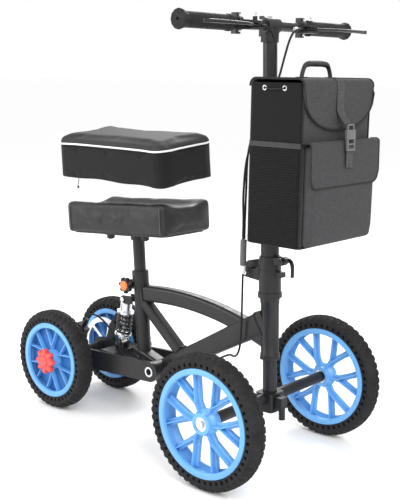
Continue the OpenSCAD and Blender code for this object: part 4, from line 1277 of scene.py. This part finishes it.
def bag_pocket():
    """The swollen front pocket and its flap with rounded corners."""
    low = Vector((BAG_HIGH.x - mm(2), -BAG_HALF + mm(7), BAG_LOW.z + mm(5)))
    high = Vector((POCKET_HIGH.x - mm(4.5), BAG_HALF - mm(7), BAG_LOW.z + mm(214)))
    points, faces = rounded_box(low, high, mm(9), 20)
    for p in points:
        out = share((p.x - low.x - mm(6)) / mm(12))
        swell = cos(p.y / BAG_HALF * pi / 2) * sin(pi * (p.z - low.z) / (high.z - low.z))
        p.x += out * mm(3.0) * swell * (1 + 0.3 * noise.noise(p * 16))
        p.x -= out * mm(4) * max(1 - (p.z - low.z) / mm(30), 0)
    made = piece("bag_pocket_front", points, faces, "bag_fabric", "column",
                 ["bag_pocket"], angle=180)
    half, corner = BAG_HALF + mm(4), mm(26)
    top, bottom = POCKET_HIGH.z, BAG_LOW.z + mm(127)
    columns = 44
    rows = []
    for j in range(columns + 1):
        y = -half + 2 * half * j / columns
        over = max(abs(y) - (half - corner), 0)
        end = bottom + corner - sqrt(max(corner ** 2 - over ** 2, 0))
        level = cos(y / half * pi / 2)
        path = [Vector((BAG_HIGH.x + mm(2.6), y, top - mm(3)))]
        path += [Vector((POCKET_HIGH.x - mm(12) + mm(9) * s, y, top - mm(10) + mm(8) * c))
                 for s, c in quarter(7, 1, 7)]
        for k in range(1, 21):
            t = k / 20
            swell = mm(2.4) * level * sin(pi * t) + mm(1.2) * t
            path.append(Vector((POCKET_HIGH.x - mm(3) + swell, y, top - mm(10) + (end - top + mm(10)) * t)))
        rows.append(path)
    shape = Shape()
    shape.grid(rows)
    flap = shape.make("bag_pocket_flap", "bag_fabric", "column", angle=180)
    thickened(flap, mm(2.2))
    border("bag_pocket_binding", loose_edge(rows), mm(1.5), "bag_fabric", "column")


bag_pocket()


def bag_seams():
    """Bound edges down the corners and around the floor of the bag."""
    shape = Shape()
    inset = mm(1.5)
    for side in (-1, 1):
        for x in (BAG_LOW.x + inset, BAG_HIGH.x - inset):
            path = [Vector((x, side * (BAG_HALF - inset), BAG_LOW.z + mm(3) + mm(330) * k / 16))
                    for k in range(17)]
            shape.tube(path, mm(2.0), 10)

    def round_bag(less, z):
        ring = [Vector(((BAG_LOW.x + BAG_HIGH.x) / 2 + a, b, z))
                for a, b in section(BAG_DEEP - less, 2 * BAG_HALF - less, mm(8), 6)]
        return ring + ring[:1]

    shape.tube(round_bag(mm(1), BAG_LOW.z + mm(3)), mm(2.2), 10)
    shape.make("bag_seam_binding", "bag_fabric", "column", angle=60, look=BINDING)
    border("bag_mouth_hem", round_bag(mm(2), BAG_HIGH.z - mm(7)), mm(2.0), "bag_fabric", "column")


bag_seams()


def strap_band(shape, path, wide, thick):
    """Flat webbing along a path."""
    rings = []
    for i, p in enumerate(path):
        way = heading(path, i)
        off = way.cross(Y_AXIS).normalized()
        rings.append([p + Y_AXIS * a + off * b for a, b in section(wide, thick, thick * 0.45, 3)])
    shape.loft(rings)


def bag_strap():
    """Webbing over the lid, a side-release buckle, and the short tail below it."""
    buckle_top, buckle_low = BAG_LOW.z + mm(252), BAG_LOW.z + mm(205)
    face = POCKET_HIGH.x + mm(1.5)
    bend = mm(16)
    path = [Vector((lid_front - mm(95), 0, lid_top + mm(1.3))), Vector((lid_front - bend, 0, lid_top + mm(1.3)))]
    path += [Vector((lid_front - bend + (bend + mm(1.3)) * s, 0, lid_top - bend + (bend + mm(1.3)) * c))
             for s, c in quarter(8, 1, 7)]
    path += [Vector((lid_front + mm(1), 0, lid_top - mm(45))), Vector((lid_front + mm(4), 0, lid_top - mm(70))),
             Vector((face, 0, buckle_top))]
    shape = Shape()
    strap_band(shape, smooth(path, 4), mm(26), mm(1.7))
    tail = [Vector((face + mm(3), 0, buckle_low + mm(6))), Vector((face + mm(2.4), 0, buckle_low - mm(10))),
            Vector((face + mm(2.6), 0, BAG_LOW.z + mm(166)))]
    strap_band(shape, smooth(tail, 6), mm(24), mm(1.7))
    shape.make("bag_webbing", "webbing", "bag_flap", ["bag_strap"])
    clip = Shape()
    frame_at = tilted(Vector((face + mm(4), 0, buckle_low)), Vector((-0.05, 0, 1)).normalized())

    for low, high in (((-3, -16, 20), (4, 16, 40)), ((-2, -13, 38), (3, -9, 52)), ((-2, 9, 38), (3, 13, 52)),
                      ((-2, -13, 48), (3, 13, 52)), ((-2.6, -15, 0), (3.4, -10.5, 22)),
                      ((-2.6, 10.5, 0), (3.4, 15, 22)), ((-2.6, -15, -4), (3.4, 15, 1)),
                      ((-2, -12, 8), (2.6, 12, 12)), ((2.6, -9, 24), (5, 9, 36))):
        clip.block(mm(*low), mm(*high), 0.0014, frame_at)
    clip.make("bag_buckle", "webbing", "bag_flap", look=BUCKLE)


bag_strap()


def bag_handle():
    """Carry handle, thickest in the hand, on two small plates."""
    middle = centre("bag_handle").x
    base = lid_top + mm(0.6)
    high = box("bag_handle")[1].z
    points = [(-54, 0), (-50, 14), (-43, 26), (-30, 32), (0, 33), (30, 32), (43, 26), (50, 14), (54, 0)]
    tall = (high - base - mm(4)) / mm(33)
    path = smooth([Vector((middle, mm(y), base + mm(z) * tall)) for y, z in points], 6)
    shape = Shape()

    def thick(t):
        return mm(5.0) + mm(4.0) * exp(-((t - 0.5) / 0.22) ** 4)

    shape.loft(tube_rings(path, thick, 18, 0.72, X_AXIS))
    for side in (-1, 1):
        spot = Vector((middle, side * mm(54), base + mm(0.8)))
        shape.block(spot - mm(10, 9, 1), spot + mm(10, 9, 1.4), 0.001)
    shape.make("bag_carry_grip", "webbing", "bag_flap", ["bag_handle"],
               look=rubber("handle_skin", (0.03, 0.03, 0.031), 0.45))


bag_handle()


# ---- stage, camera and light ----
def look_from(place, yaw, pitch, roll):
    """Camera matrix; yaw 0 looks along +Y and 90 along -X, pitch looks down, all in radians."""
    back = Vector((sin(yaw) * cos(pitch), -cos(yaw) * cos(pitch), sin(pitch)))
    right = (-back).cross(UP).normalized()
    top = right.cross(-back)
    turned_right = right * cos(roll) + top * sin(roll)
    turned_up = top * cos(roll) - right * sin(roll)
    return Matrix.Translation(place) @ Matrix((turned_right, turned_up, back)).transposed().to_4x4()


camera_data = bpy.data.cameras.new("camera")
camera_data.sensor_width = 36
camera_data.lens = 68.18
camera = placed("camera", camera_data)
camera.matrix_world = look_from(Vector((FRONT.x + 1.2619, -1.7013, 0.8980)), 0.718, 0.187, 0.017)
bpy.context.scene.camera = camera

FLOOR_HALF, FLOOR_Z = 60, -0.001
floor_shape = new_mesh("floor", [(x * FLOOR_HALF, y * FLOOR_HALF, FLOOR_Z)
                                 for x, y in ((-1, -1), (1, -1), (1, 1), (-1, 1))], [(0, 1, 2, 3)])
floor_look = Shader("floor", (0.93, 0.93, 0.93), 0.55)
floor_look.colours(floor_look.noise(3, 3), (0.975, 0.975, 0.975), (0.99, 0.99, 0.99))
floor_shape.materials.append(floor_look.material)
placed("floor", floor_shape)

world = bpy.data.worlds.new("studio")
world.use_nodes = True
background = world.node_tree.nodes["Background"].inputs
background["Color"].default_value = (1, 1, 1, 1)
background["Strength"].default_value = 1.0
bpy.context.scene.world = world


def softbox(name, place, size, power):
    """A soft light that faces the middle of the scooter."""
    data = bpy.data.lights.new(name, "AREA")
    data.shape = "RECTANGLE"
    data.size, data.size_y = size
    data.energy = power
    aim = (Vector((0, 0, 0.5)) - place).to_track_quat("-Z", "Y")
    placed(name, data).matrix_world = Matrix.Translation(place) @ aim.to_matrix().to_4x4()


softbox("key", Vector((2.4, -1.6, 2.6)), (1.6, 1.6), 70)
softbox("left_fill", Vector((-1.8, -2.4, 1.6)), (1.4, 2.0), 45)
softbox("back_rim", Vector((-1.4, 2.2, 2.2)), (1.6, 1.2), 50)
bpy.context.scene.view_settings.view_transform = "Standard"
